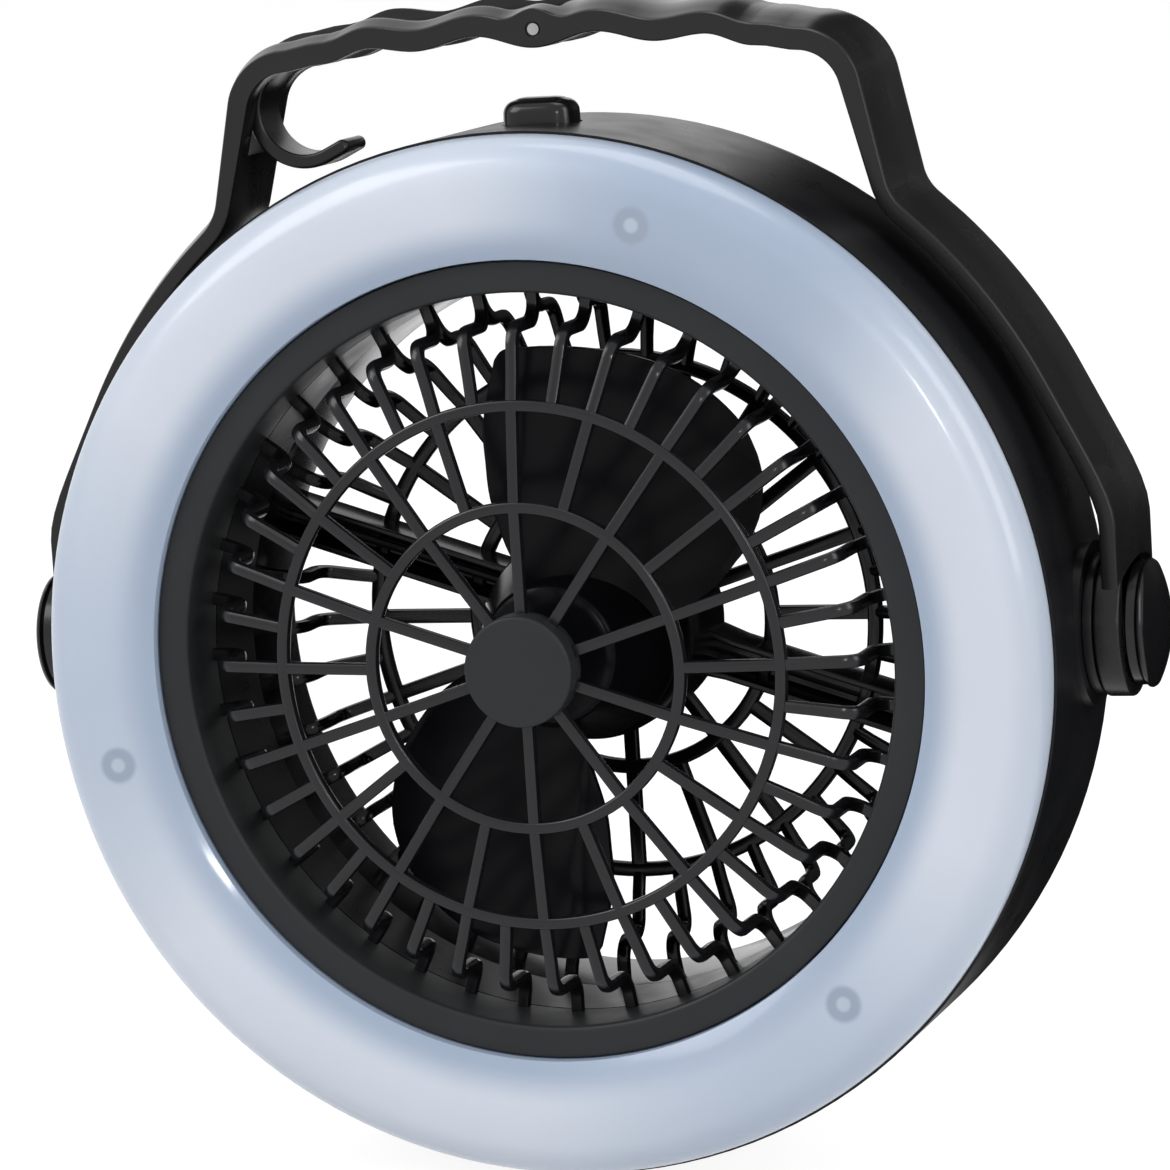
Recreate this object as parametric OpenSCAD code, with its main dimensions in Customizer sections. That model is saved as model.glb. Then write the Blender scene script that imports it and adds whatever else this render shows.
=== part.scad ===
// Portable camping fan: a round drum with a duct fan, a light ring round its mouth,
// and a carrying handle with a fold-out hanging hook. Millimetres, +Z up, front towards -Y.
// Round pieces are drawn on the drum's axis: r is the radius, f the distance in front
// of the seam between light ring and housing (negative towards the back).

/* [Light ring] */
// Outer radius of the light ring
ring_r = 97.5; // [92:0.5:104]
// Height of the ring's crown in front of the seam
ring_crown = 8.6; // [7:0.2:11]
// Radius at which the crown is highest
ring_crown_r = 87; // [85:0.5:89]
// Rounding of the ring's outer shoulder
ring_shoulder = 8.2; // [5:0.2:8.2]
// Wall of the ring
ring_wall = 1.8; // [1.2:0.1:2.2]
// Radius at which the screw bosses stand
boss_r = 84.7; // [82:0.1:87]
// Direction of the first screw boss, in degrees from +X towards +Z
boss_turn = 72.4; // [60:0.2:84]
// Radius of a screw boss
boss_size = 3.35; // [2.8:0.05:4]
// Number of light-emitting diodes
led_count = 18; // [12:1:24]

/* [Front grille] */
// Outer radius of the dark bezel
bezel_r = 74.6; // [74:0.1:75.2]
// Front face of the bezel in front of the seam
bezel_front = 4; // [3.4:0.1:4.8]
// Inner radius of the air duct
duct_r = 68.7; // [67:0.1:69.5]
// Wall of the grille's collar
collar_wall = 2; // [1.4:0.1:2.2]
// Length of the collar behind the seam
collar_depth = 10.2; // [8:0.2:12]
// Width of a grille bar
bar_w = 2.2; // [1.6:0.1:3]
// Depth of a grille bar
bar_d = 2.2; // [1.6:0.1:2.8]
// Radius of the grille's inner ring
grille_in_r = 29.9; // [26:0.1:34]
// Radius of the grille's outer ring
grille_out_r = 48.4; // [44:0.1:52]
// Radius of the hub cap
hub_r = 10.4; // [8:0.1:14]
// Front face of the hub cap in front of the seam
hub_front = 13.1; // [12:0.1:16]
// Middle plane of the spokes at the hub
spoke_plane = 8.5; // [7.5:0.1:9.5]
// Middle plane of the outer ring
outer_plane = 6.3; // [5.6:0.1:7.2]
// Number of spokes at the hub; the bars double at each ring
spoke_count = 10; // [8:1:12]

/* [Rear grille] */
// Middle plane of the rear rings in front of the housing's back
rear_inset = 1.3; // [1.2:0.1:4]
// Width of a rear grille bar
rear_bar_w = 2.8; // [2:0.1:3.2]
// Radius of the rear inner ring
rear_in_r = 30; // [27:0.1:34]
// Radius of the rear outer ring
rear_out_r = 50.5; // [47:0.1:53]
// Wall of the sleeve that lines the duct
sleeve_wall = 1.05; // [0.8:0.05:1.2]
// Width of the flange on the housing's back
flange_w = 2.2; // [2:0.1:2.3]
// Outer radius of the motor cup
cup_r = 20.5; // [19:0.1:23]
// Wall of the motor cup
cup_wall = 1.8; // [1.2:0.1:2.4]
// Front rim of the motor cup behind the seam
cup_front = 30.2; // [29.8:0.1:31]
// Width of the two wire arms
arm_w = 8; // [6:0.2:10]
// Depth of the wire arms, front to back
arm_d = 10.3; // [8.4:0.1:13]
// Direction of the first wire arm in degrees; the other one is opposite
arm_turn = 162; // [126:36:198]

/* [Housing] */
// Outer radius of the housing drum
drum_r = 98; // [97.8:0.1:104]
// Depth of the drum from the seam to its back
drum_depth = 52; // [49.6:0.1:55]
// Wall of the housing
drum_wall = 2.2; // [1.6:0.1:2.6]
// Rounding of the drum's rear edge
rear_round = 10.5; // [7:0.5:11]
// Wall of the air duct behind the collar
duct_wall = 2.9; // [2.6:0.1:3.4]

/* [Rotor and motor] */
// Tip radius of the blades
blade_tip_r = 58; // [50:0.5:62]
// Thickness of a blade
blade_t = 1.6; // [1.2:0.1:2.4]
// Tilt of the blades in degrees
blade_pitch = 18.4; // [14:0.2:22]
// Direction of the first blade in degrees
blade_turn = 69; // [0:1:179]
// Number of blades
blade_count = 2; // [2:1:3]
// Front radius of the rotor's hub
rotor_front_r = 13.3; // [12:0.1:15]
// Rear radius of the rotor's hub
rotor_rear_r = 19.3; // [18:0.1:21]
// Depth of the rotor's hub
rotor_depth = 20; // [17:0.5:21]
// Radius of the motor shaft
shaft_r = 1; // [0.8:0.05:1.5]
// Radius of the motor can
can_r = 12.2; // [11:0.1:12.8]
// Length of the motor can
can_len = 12.3; // [11:0.1:12.6]

/* [Power button] */
// Width of the button
button_w = 14.5; // [12:0.5:17]
// Depth of the button, front to back
button_d = 10; // [8:0.5:12]
// Button's middle behind the seam
button_y = 20.8; // [18:0.2:24]
// Height of the button above the drum
button_rise = 4.6; // [3:0.2:6]
// Travel of the button
button_travel = 1.5; // [0.8:0.1:2]

/* [Handle] */
// Width of the handle band, front to back
band_w = 21.8; // [19:0.2:24]
// Thickness of the legs at the band's edges
leg_t = 2.8; // [2.2:0.1:3.4]
// Thickness of the grip at the band's edges
grip_t = 3.5; // [3:0.1:4.2]
// How far the band's outer side is crowned above its edges
band_crown = 2.8; // [1.6:0.1:3.2]
// Gap between the drum and the legs that follow it
leg_gap = 4.2; // [3.8:0.1:6]
// Lean of the upper legs in degrees
leg_lean = 14.5; // [12:0.5:17]
// Half width of the grip at its inner corners
grip_half = 50; // [46:0.5:54]
// Inner radius of the grip's corners
corner_r = 8.3; // [7:0.1:10]
// Inner height of the grip's corners above the drum's axis
corner_z = 109.6; // [108:0.2:112]
// Height of the hook pin above the drum's axis
pin_z = 115.3; // [114.6:0.1:116]
// Radius of the hook pin
pin_r = 1.1; // [0.9:0.05:1.4]

/* [Hanging hook] */
// Width of the hook, front to back
hook_w = 10.4; // [8:0.2:12]
// Thickness of the hook
hook_t = 2.7; // [2:0.1:3.2]
// Inner radius of the hook's bend
hook_in_r = 8.4; // [7:0.1:9]
// Radius of the hook's eye round the pin
hook_eye_r = 3; // [2.6:0.1:3.4]

/* [Pivots] */
// Pivot axis behind the seam
pivot_y = 29.5; // [28:0.1:31]
// Pivot axis above the drum's axis
pivot_rise = 1; // [0:0.1:2]
// Radius of the pad and friction washer on the housing
washer_r = 13; // [11:0.1:14]
// Radius of the handle's eye
eye_r = 13.5; // [12:0.1:15]
// Thickness of the handle's eye
eye_t = 4.8; // [4:0.1:5.4]
// Radius of the cap's flange
cap_r = 11.9; // [10.5:0.1:12.6]
// Height of the cap's dome
cap_dome = 2.8; // [2:0.1:3.6]
// Radius of the pivot screw's shank
pivot_screw_r = 3; // [2.5:0.1:3.6]

/* [Batteries] */
// Diameter of a cell
cell_d = 14.4; // [14:0.1:14.6]
// Length of a cell with its button
cell_len = 50.4; // [49.6:0.1:50.6]
// Radius at which the cells lie
cell_r = 81.8; // [81.4:0.1:82.2]
// Angle of each pair of cells from straight down
cell_turn = 21.6; // [21.2:0.1:22.4]
// Wall of the battery tray
tray_wall = 1; // [0.8:0.1:1.1]

/* [Feet] */
// Height of the feet below the drum
foot_h = 0.8; // [0.6:0.1:1.6]
// Inner edge of a foot from the middle
foot_in = 6; // [4:0.5:8]
// Outer edge of a foot from the middle
foot_out = 17; // [14:0.5:24]
// Front edge of the feet behind the seam
foot_y = 15; // [13:0.5:20]
// Length of the feet
foot_len = 28; // [20:1:30]

/* [Fits] */
// Gap between pieces that lie face to face
seat_gap = 0.1; // [0.05:0.05:0.2]
// Gap between pieces that move past each other
move_gap = 0.3; // [0.25:0.05:0.6]
// Radial running fit of pins and shafts
run_fit = 0.05; // [0.02:0.01:0.1]
// Radial fit of pressed and screwed pieces
press_fit = 0.02; // [0.01:0.01:0.04]

/* [Hidden] */
$fn = 96;
tiny = 0.01;

// Place of the drum: the feet stand on z = 0, the depth is centred on y = 0
axis_h = drum_r + foot_h;
seam_y = (hub_front - drum_depth) / 2;

// Light ring
crown_arc_r = ((ring_crown_r - bezel_r) * (ring_crown_r - bezel_r) + 3.4 * 3.4) / 6.8;
shoulder_c = ring_r - ring_shoulder;
shoulder_f = ring_crown - crown_arc_r
    + sqrt(pow(crown_arc_r - ring_shoulder, 2) - pow(shoulder_c - ring_crown_r, 2));
shoulder_a = atan2(shoulder_f - ring_crown + crown_arc_r, shoulder_c - ring_crown_r);
ring_in_r = bezel_r + 3 * seat_gap;
tray_f = -5;
tray_t = 1.2;
board_f = tray_f + seat_gap;
board_t = 1.4;
board_in_r = ring_in_r + ring_wall + move_gap;
spigot_r = drum_r - drum_wall - move_gap;
board_out_r = spigot_r - ring_wall - move_gap;
boss_bore = 1.2;
boss_count = 3;

// Duct, grilles and their screws
collar_r = duct_r + collar_wall;
skirt_w = 2;
grille_boss = 1.9;
grille_screw_r = bezel_r - grille_boss - 0.05;
grille_screw_count = 4;
root_rise = 1.2;
bar_fall = 2.2;
bend_r = 3.6;
run_r = max(duct_r - 6.4, blade_tip_r + bar_d / 2 + 1);
duct_out_r = duct_r + duct_wall;
duct_front = collar_depth + move_gap;
sleeve_r = duct_r + sleeve_wall;
sleeve_front = 29.2;
flange_t = 2.1;
flange_r = sleeve_r + flange_w;
ear_r = 3.4;
ear_at = flange_r + 1.6;
seat_r = flange_r + 1.2;
seat_t = 2;
ear_turns = [0, 45, 90, 135, 180, 217, 323];
ear_screw_r = 1.1;

// Rear rings, the wire arms' front edge and floor, and the rear bars' roots on the sleeve
rear_plane = drum_depth - rear_inset;
rear_face = rear_plane + bar_d / 2;
arm_front = rear_face - arm_d;
arm_floor = 1.4;
rear_root = rear_plane - 13.3;

// Housing screws and ledge
post_r = 3.4;
post_at = 87;
post_turns = [38, 142, 216, 324];
tray_boss = 3;
post_top = -tray_f + tray_t + tray_boss + seat_gap;
screw_r = 1.3;
head_r = 2.6;
head_h = 1.6;

// Rotor and motor
rotor_front = 4;
rotor_wall = 1.6;
rotor_boss_r = 3.4;
blade_mid = 12.6;
cup_back = drum_depth - 0.5;
can_front = cup_front + seat_gap;
can_wall = 0.8;
can_boss_r = 3.1;
magnet_t = 1.9;
magnet_w = 18;
armature_r = can_r - 3.6;
armature_front = can_front + 3.4;
armature_back = can_front + 10;
commutator_r = 2.8;
cover_t = 1.8;
bush_r = 2.4;
bush_len = 3;
end_cap_t = 1.8;
shaft_front = rotor_front + 4.4;
shaft_back = can_front + can_len + seat_gap + end_cap_t - 0.3;

// Depth of the feet's pockets
foot_seat = 0.8;

// Button and switch
slot_gap = 0.25;
button_top = drum_r + button_rise;
flange_over = 1.5;
button_flange_t = 1.2;
button_flange_top = sqrt(pow(drum_r - drum_wall, 2) - pow(button_w / 2 + flange_over, 2))
    - move_gap;
plunger_top = button_flange_top - button_flange_t - 3;
switch_top = plunger_top - 2.6;
switch_h = 7.3;
switch_w = 12;
pcb_t = 1.6;
pcb_top = switch_top - switch_h - seat_gap;
pcb_w = 30;
pcb_d = 18;
pcb_post_r = 2.4;
pcb_screw_at = 12;

// Pivot stack along X
pad_x = drum_r + 0.8;
washer_t = 1.9;
eye_x = pad_x + seat_gap + washer_t + move_gap;
neck_x = eye_x + eye_t + move_gap + 0.1;
neck_r = cap_r - 0.5;
neck_t = 2.3;
insert_r = 4.2;
insert_x = 84;
insert_len = 9;
pivot_head_r = 7.4;
pivot_head_t = 1.6;
boss_out_r = 7;

// Handle: the inner contour runs from an eye up the leg, round the corner and along the grip
handle_y = pivot_y;
lean_a = 27;
leg_in_r = drum_r + leg_gap;
leg_in_x = eye_x + 1.3;
kink_z = leg_in_r * sin(lean_a) - (leg_in_x - leg_in_r * cos(lean_a)) / tan(lean_a);
shoulder_r = 14;
grip_knots = [
    [0, 2.5], [11.8, 5], [23.8, 2.75], [32.8, 3.7], [42.5, 1.15]
];
centre_bulge = 3.8;
bulge_half = 7.4;
slot_w = hook_w + 2 * 0.5;
slot_end = hook_eye_r + 0.9;
slot_low = 93.6;

// Leads
lead_r = 0.9;
lead_f = drum_depth - 5.8;
lead_end_f = 27;
lead_up_r = duct_out_r + 2.4;
lead_top_turn = 107;
lead_start = 0.8;
led_lead_x = 8;
led_lead_z = 82;

// Batteries
tray_in_h = cell_d + 0.6;
pack_half = cell_len / 2 + 1.6;
cell_f1 = 19.6;
cell_pitch = cell_d + 1.4;
pack_front = cell_f1 - cell_d / 2 - 0.5;
pack_back = drum_depth - drum_wall - seat_gap;
door_half = 41.5;
door_in_r = cell_r - tray_in_h / 2;
door_out_r = 93.4;
door_gap = 0.25;
door_screw_at = 88;
door_post_r = 2.7;
door_post_f = 20;
door_post_back = 0.8;
door_head_depth = 1.9;

// ---------- helpers ----------
function arc(cx, cy, r, a0, a1, n) =
    [for (i = [0:n]) let (a = a0 + (a1 - a0) * i / n) [cx + r * cos(a), cy + r * sin(a)]];

function ease(t) = (1 - cos(180 * t)) / 2;

function unit(v) = v / norm(v);

// Puts a shape drawn with the drum's axis as its Z axis in place, Z towards the front
module on_drum() {
    translate([0, seam_y, axis_h]) rotate([90, 0, 0]) children();
}

// Puts a shape drawn along Z at a pivot, pointing outwards on side 1 or -1
module on_pivot(side) {
    translate([0, seam_y + pivot_y, axis_h + pivot_rise]) rotate([0, 90 * side, 0]) children();
}

module tube(r_out, r_in, f0, f1) {
    rotate_extrude() polygon([[r_in, f0], [r_out, f0], [r_out, f1], [r_in, f1]]);
}

module disc(r, f0, f1) {
    translate([0, 0, f0]) cylinder(r = r, h = f1 - f0);
}

module around(count, turn = 0) {
    for (i = [0:count - 1]) rotate([0, 0, turn + 360 * i / count]) children();
}

// A bar standing on the radius: the outline is given as [r, f] points
module rib(points, width) {
    rotate([90, 0, 0]) translate([0, 0, -width / 2]) linear_extrude(width) polygon(points);
}

// A screw along -Z with its head's top at z = 0
module screw(head, head_t, shank, length) {
    difference() {
        translate([0, 0, -head_t]) cylinder(r = head, h = head_t, $fn = 40);
        translate([-head * 0.6, -0.3, -head_t * 0.4]) cube([head * 1.2, 0.6, head_t]);
        translate([-0.3, -head * 0.6, -head_t * 0.4]) cube([0.6, head * 1.2, head_t]);
    }
    translate([0, 0, -length]) cylinder(r = shank, h = length - head_t + tiny, $fn = 40);
}

// A round tube swept along points
module swept_tube(points, r, sides) {
    n = len(points);
    dirs = [for (i = [0:n - 1]) unit(points[min(i + 1, n - 1)] - points[max(i - 1, 0)])];
    verts = [for (i = [0:n - 1])
        let (side = unit(cross(dirs[i], [0.13, 1, 0.07])), up = cross(side, dirs[i]))
        for (k = [0:sides - 1])
        points[i] + r * (cos(360 * k / sides) * side + sin(360 * k / sides) * up)];
    skin = [for (i = [0:n - 2], k = [0:sides - 1])
        let (a = i * sides + k, b = i * sides + (k + 1) % sides)
        [a, b, b + sides, a + sides]];
    polyhedron(concat(verts), concat(skin,
        [[for (k = [sides - 1:-1:0]) k]],
        [[for (k = [0:sides - 1]) (n - 1) * sides + k]]), convexity = 6);
}

// ---------- light ring ----------
function ring_skin(inset) = concat(
    [[ring_r - inset, 0]],
    [for (p = arc(shoulder_c, shoulder_f, ring_shoulder - inset, 0, shoulder_a, 10))
        if (p[1] > 0.1) p],
    [for (i = [1:14]) let (start = shoulder_c + (ring_shoulder - inset) * cos(shoulder_a),
        r = start + (ring_in_r + 1 + inset - start) * i / 14)
        [r, ring_crown - crown_arc_r
        + sqrt(pow(crown_arc_r - inset, 2) - pow(r - ring_crown_r, 2))]]
);

module diffuser_ring() color("#c4d2e4") on_drum() {
    skin = ring_skin(0);
    under = ring_skin(ring_wall);
    edge_f = ring_crown - crown_arc_r
        + sqrt(pow(crown_arc_r, 2) - pow(ring_crown_r - ring_in_r, 2));
    difference() {
        union() {
            rotate_extrude($fn = 180) polygon(concat(skin,
                [[ring_in_r + 0.6, edge_f - 0.1], [ring_in_r, edge_f - 0.7],
                 [ring_in_r, tray_f + seat_gap], [ring_in_r + ring_wall, tray_f + seat_gap],
                 [ring_in_r + ring_wall, board_f + board_t + 1]],
                [for (i = [len(under) - 1:-1:1]) if (under[i][1] > 1.2) under[i]],
                [[spigot_r - ring_wall, 1],
                 [spigot_r - ring_wall, tray_f + seat_gap], [spigot_r, tray_f + seat_gap],
                 [spigot_r, 0]]));
            around(boss_count, boss_turn) translate([boss_r, 0, 0])
                disc(boss_size, board_f + board_t + seat_gap, ring_crown - ring_wall / 2);
        }
        around(boss_count, boss_turn) translate([boss_r, 0, 0])
            disc(boss_bore, tray_f, ring_crown - ring_wall - 1);
    }
}

module led_board() color("#f2f2ee") on_drum() difference() {
    tube(board_out_r, board_in_r, board_f, board_f + board_t);
    around(boss_count, boss_turn) translate([boss_r, 0, 0])
        disc(boss_bore + 0.4, board_f - 1, board_f + board_t + 1);
}

module leds() color("#f5e28a") on_drum()
    around(led_count, boss_turn + 180 / led_count) translate([boss_r, 0, board_f + board_t]) {
        translate([-1.75, -1.4, 0.02]) cube([3.5, 2.8, 0.8]);
        translate([0, 0, 0.8]) cylinder(r1 = 1.15, r2 = 0.9, h = 0.4, $fn = 24);
    }

module light_tray() color("#e9ecef") on_drum() difference() {
    union() {
        tube(spigot_r, collar_r + move_gap, tray_f - tray_t, tray_f);
        around(boss_count, boss_turn) translate([boss_r, 0, 0])
            disc(3.6, tray_f - tray_t - 0.8, tray_f - tray_t + tiny);
        for (a = post_turns) rotate([0, 0, a]) translate([post_at, 0, 0])
            disc(post_r - 0.4, tray_f - tray_t - tray_boss, tray_f);
    }
    around(boss_count, boss_turn) translate([boss_r, 0, 0])
        disc(boss_bore + 0.3, tray_f - 4, tray_f + 1);
    around(grille_screw_count, 45) translate([grille_screw_r, 0, 0])
        disc(1, tray_f - 4, tray_f + 1);
    for (a = post_turns) rotate([0, 0, a]) translate([post_at, 0, 0])
        disc(screw_r + press_fit, tray_f - 6, tray_f + 1);
    translate([led_lead_x, led_lead_z, 0]) disc(1.5, tray_f - 4, tray_f + 1);
}

module ring_screws() color("#b9bcc0") on_drum()
    around(boss_count, boss_turn) translate([boss_r, 0, tray_f - tray_t - 0.8 - seat_gap])
        rotate([180, 0, 0]) translate([0, 0, head_h])
        screw(head_r, head_h, boss_bore - press_fit, 9);

// ---------- front grille ----------
function bar(r0, f0, r1, f1) = [
    [r0, f0 - bar_d / 2], [r1, f1 - bar_d / 2], [r1, f1 + bar_d / 2], [r0, f0 + bar_d / 2]
];

// Outer bar: out from the outer ring, bent round to run back, then bent out into the duct wall
function bent_bar(ring, plane, root) = let (
        top = plane - bar_fall, h = bar_d / 2, c1 = run_r - bend_r, c2 = run_r + bend_r
    ) concat(
        [[ring, plane + h]],
        arc(c1, top - bend_r, bend_r + h, 86, 0, 6), arc(c2, root + bend_r, bend_r - h, 180, 270, 5),
        [[duct_r + 0.4, root + h], [duct_r + 0.4, root - h]],
        arc(c2, root + bend_r, bend_r + h, 270, 180, 6), arc(c1, top - bend_r, bend_r - h, 0, 86, 5),
        [[ring, plane - h]]
    );

module grille_ring(r, plane, width) {
    h = bar_d / 2 + 0.1;
    w = width / 2;
    c = 0.4;
    translate([0, 0, plane]) rotate_extrude() polygon([
        [r - w, -h + c], [r - w + c, -h], [r + w - c, -h], [r + w, -h + c],
        [r + w, h - c], [r + w - c, h], [r - w + c, h], [r - w, h - c]
    ]);
}

module front_grille() color("#37393b") on_drum() {
    difference() {
        union() {
            // Bezel, collar and the skirt that stands on the light tray
            rotate_extrude($fn = 180) polygon(concat(
                arc(duct_r + 1.2, bezel_front - 1.2, 1.2, 180, 90, 4),
                [[bezel_r - 0.3, bezel_front], [bezel_r, bezel_front - 0.3],
                 [bezel_r, tray_f + seat_gap], [bezel_r - skirt_w, tray_f + seat_gap],
                 [bezel_r - skirt_w, bezel_front - 1.8], [collar_r, bezel_front - 1.8],
                 [collar_r, -collar_depth], [duct_r, -collar_depth]]));
            around(grille_screw_count, 45) translate([grille_screw_r, 0, 0])
                disc(grille_boss, tray_f + seat_gap + 0.2, bezel_front - 1);
        }
        around(grille_screw_count, 45) translate([grille_screw_r, 0, 0])
            disc(0.8, tray_f - 1, bezel_front - 2);
    }
    grille_ring(grille_in_r, spoke_plane, bar_w);
    grille_ring(grille_out_r, outer_plane, bar_w);
    around(spoke_count, 90) rib(bar(hub_r - 1.2, spoke_plane, grille_in_r, spoke_plane), bar_w);
    around(2 * spoke_count) rib(bar(grille_in_r, spoke_plane, grille_out_r, outer_plane), bar_w);
    around(4 * spoke_count)
        rib(bent_bar(grille_out_r, outer_plane, root_rise - collar_depth), bar_w);
    // Hub cap, hollow at the back
    rotate_extrude() polygon([
        [0, hub_front], [hub_r - 0.5, hub_front], [hub_r, hub_front - 0.5],
        [hub_r, spoke_plane - bar_d / 2 - 0.2], [hub_r - 1.6, spoke_plane - bar_d / 2 - 0.2],
        [hub_r - 1.6, hub_front - 1.6], [0, hub_front - 1.6]
    ]);
}

module grille_screws() color("#b9bcc0") on_drum()
    around(grille_screw_count, 45) translate([grille_screw_r, 0, tray_f - tray_t - seat_gap])
        rotate([180, 0, 0]) translate([0, 0, 1]) screw(1.6, 1, 0.8 - press_fit, 6.5);

// ---------- housing ----------
// Rear wall between two radii, as an outline in [r, f]
function back_wall(r0, r1) = let (
        c = drum_r - rear_round, fc = rear_round - drum_depth, ri = rear_round - drum_wall,
        a1 = -acos((r1 - c) / rear_round), a1i = -acos((r1 - c) / ri)
    ) concat(
        [[r0, -drum_depth], [c, -drum_depth]],
        [for (i = [1:6]) let (a = -90 + (a1 + 90) * i / 6)
            [c + rear_round * cos(a), fc + rear_round * sin(a)]],
        [for (i = [6:-1:1]) let (a = -90 + (a1i + 90) * i / 6)
            [c + ri * cos(a), fc + ri * sin(a)]],
        [[c, drum_wall - drum_depth], [r0, drum_wall - drum_depth]]
    );

module door_wedge(half) {
    far = 130;
    rotate([0, 0, 270]) translate([0, 0, -drum_depth - 1]) linear_extrude(12)
        polygon([[0, 0], [far, far * tan(-half)], [far, far * tan(half)]]);
}

module door_shape(gap) {
    intersection() {
        rotate_extrude($fn = 180) polygon(back_wall(door_in_r + gap, door_out_r - gap));
        door_wedge(door_half - gap * 0.7);
    }
}

module rear_housing() color("#1c1d1f") {
    slot_r = button_d / 2 - 0.6;
    difference() {
        union() {
            on_drum() {
                // Drum, back and air duct
                rotate_extrude($fn = 180) polygon(concat(
                    [[drum_r, -seat_gap]],
                    arc(drum_r - rear_round, rear_round - drum_depth, rear_round, 0, -90, 10),
                    [[flange_r + seat_gap, -drum_depth],
                     [flange_r + seat_gap, flange_t + seat_gap - drum_depth],
                     [sleeve_r + seat_gap, flange_t + seat_gap - drum_depth],
                     [sleeve_r + seat_gap, -sleeve_front + seat_gap],
                     [duct_r, -sleeve_front + seat_gap], [duct_r, -duct_front],
                     [duct_out_r, -duct_front],
                     [duct_out_r, flange_t + seat_gap + seat_t - drum_depth],
                     [seat_r, flange_t + seat_gap + seat_t - drum_depth],
                     [seat_r, drum_wall - drum_depth]],
                    arc(drum_r - rear_round, rear_round - drum_depth, rear_round - drum_wall,
                        -90, 0, 8),
                    [[drum_r - drum_wall, tray_f - tray_t - seat_gap - 2],
                     [drum_r - drum_wall - 1.8, tray_f - tray_t - seat_gap - 1],
                     [drum_r - drum_wall - 1.8, tray_f - tray_t - seat_gap],
                     [drum_r - drum_wall, tray_f - tray_t - seat_gap],
                     [drum_r - drum_wall, -seat_gap]]));
                // Posts for the long screws
                for (a = post_turns) rotate([0, 0, a]) translate([post_at, 0, 0])
                    disc(post_r, 1.4 - drum_depth, -post_top);
                // Bosses for the rear grille's screws, clear of its sleeve and flange
                difference() {
                    for (a = ear_turns) rotate([0, 0, a]) translate([ear_at, 0, 0])
                        disc(ear_r + 1, 1 - drum_depth, 8 - drum_depth);
                    rotate_extrude($fn = 180) polygon([
                        [0, -drum_depth - 9], [flange_r + 5 * seat_gap, -drum_depth - 9],
                        [flange_r + 5 * seat_gap, flange_t + 5 * seat_gap - drum_depth],
                        [sleeve_r + 8 * seat_gap, flange_t + 5 * seat_gap - drum_depth],
                        [sleeve_r + 8 * seat_gap, 0], [0, 0]]);
                }
                // Post for the door's screw
                rotate([0, 0, 270]) translate([door_screw_at, 0, 0])
                    disc(door_post_r, drum_wall + door_post_back - drum_depth, -door_post_f);
                rotate([0, 0, 270]) translate([door_screw_at, -1, -door_post_f - 6])
                    cube([drum_r - door_screw_at - 1, 2, 8]);
            }
            // Pads, and the bosses behind them that hold the threaded inserts
            difference() {
                for (side = [-1, 1]) on_pivot(side) translate([0, 0, drum_r - 6])
                    cylinder(r = washer_r + 2.4, h = pad_x - drum_r + 6);
                on_drum() disc(drum_r - drum_wall + 0.4, -60, 5);
            }
            for (side = [-1, 1]) on_pivot(side) translate([0, 0, insert_x - 1.5])
                cylinder(r = boss_out_r, h = drum_r - insert_x);
            // Posts for the switch board
            for (side = [-1, 1])
                translate([side * pcb_screw_at, seam_y + button_y, axis_h + duct_r + 1])
                cylinder(r = pcb_post_r, h = pcb_top - pcb_t - seat_gap - duct_r - 1);
        }
        // Bores
        for (side = [-1, 1]) on_pivot(side) {
            translate([0, 0, insert_x - 3])
                cylinder(r = insert_r + press_fit, h = insert_len + 3);
            translate([0, 0, insert_x]) cylinder(r = pivot_screw_r + run_fit, h = drum_r);
        }
        for (side = [-1, 1])
            translate([side * pcb_screw_at, seam_y + button_y, axis_h + pcb_top - 8])
            cylinder(r = 0.9, h = 10);
        // Button slot
        translate([0, seam_y + button_y, axis_h + drum_r - 8])
            rounded_block(button_w + 2 * slot_gap, button_d + 2 * slot_gap, 12, slot_r + slot_gap);
        on_drum() {
            for (a = post_turns) rotate([0, 0, a]) translate([post_at, 0, 0]) {
                disc(screw_r + 0.3, -drum_depth - 1, -post_top + 1);
                disc(head_r + 0.3, -drum_depth - 1, 2.6 - drum_depth);
            }
            for (a = ear_turns) rotate([0, 0, a]) translate([ear_at, 0, 0]) {
                disc(ear_r + seat_gap, -drum_depth - 1, flange_t + seat_gap - drum_depth);
                disc(ear_screw_r, -drum_depth - 1, 6.8 - drum_depth);
            }
            rotate([0, 0, 270]) translate([door_screw_at, 0, 0])
                disc(screw_r, -drum_depth - 1, -door_post_f - 2);
            intersection() {
                translate([0, 0, -drum_depth - 1]) tube(door_out_r, door_in_r, 0, 7);
                door_wedge(door_half);
            }
            // Way out of the duct for the motor's lead
            rotate([0, 0, arm_turn]) translate([duct_r - 2, 0, -lead_f]) rotate([0, 90, 0])
                cylinder(r = lead_r + 0.5, h = duct_wall + 4, $fn = 32);
        }
        // Pockets of the feet
        for (side = [-1, 1]) foot_block(side, 0.2);
    }
}

module rounded_block(w, d, h, r) {
    linear_extrude(h) {
        square([w - 2 * r, d], center = true);
        square([w, d - 2 * r], center = true);
        for (x = [-1, 1], y = [-1, 1]) translate([x * (w / 2 - r), y * (d / 2 - r)]) circle(r = r);
    }
}

module housing_screws() color("#b9bcc0") on_drum()
    for (a = post_turns) rotate([0, 0, a]) translate([post_at, 0, 2.6 - head_h - drum_depth])
        rotate([180, 0, 0]) screw(head_r, head_h, screw_r, drum_depth - 2.6 + head_h + tray_f);

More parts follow.
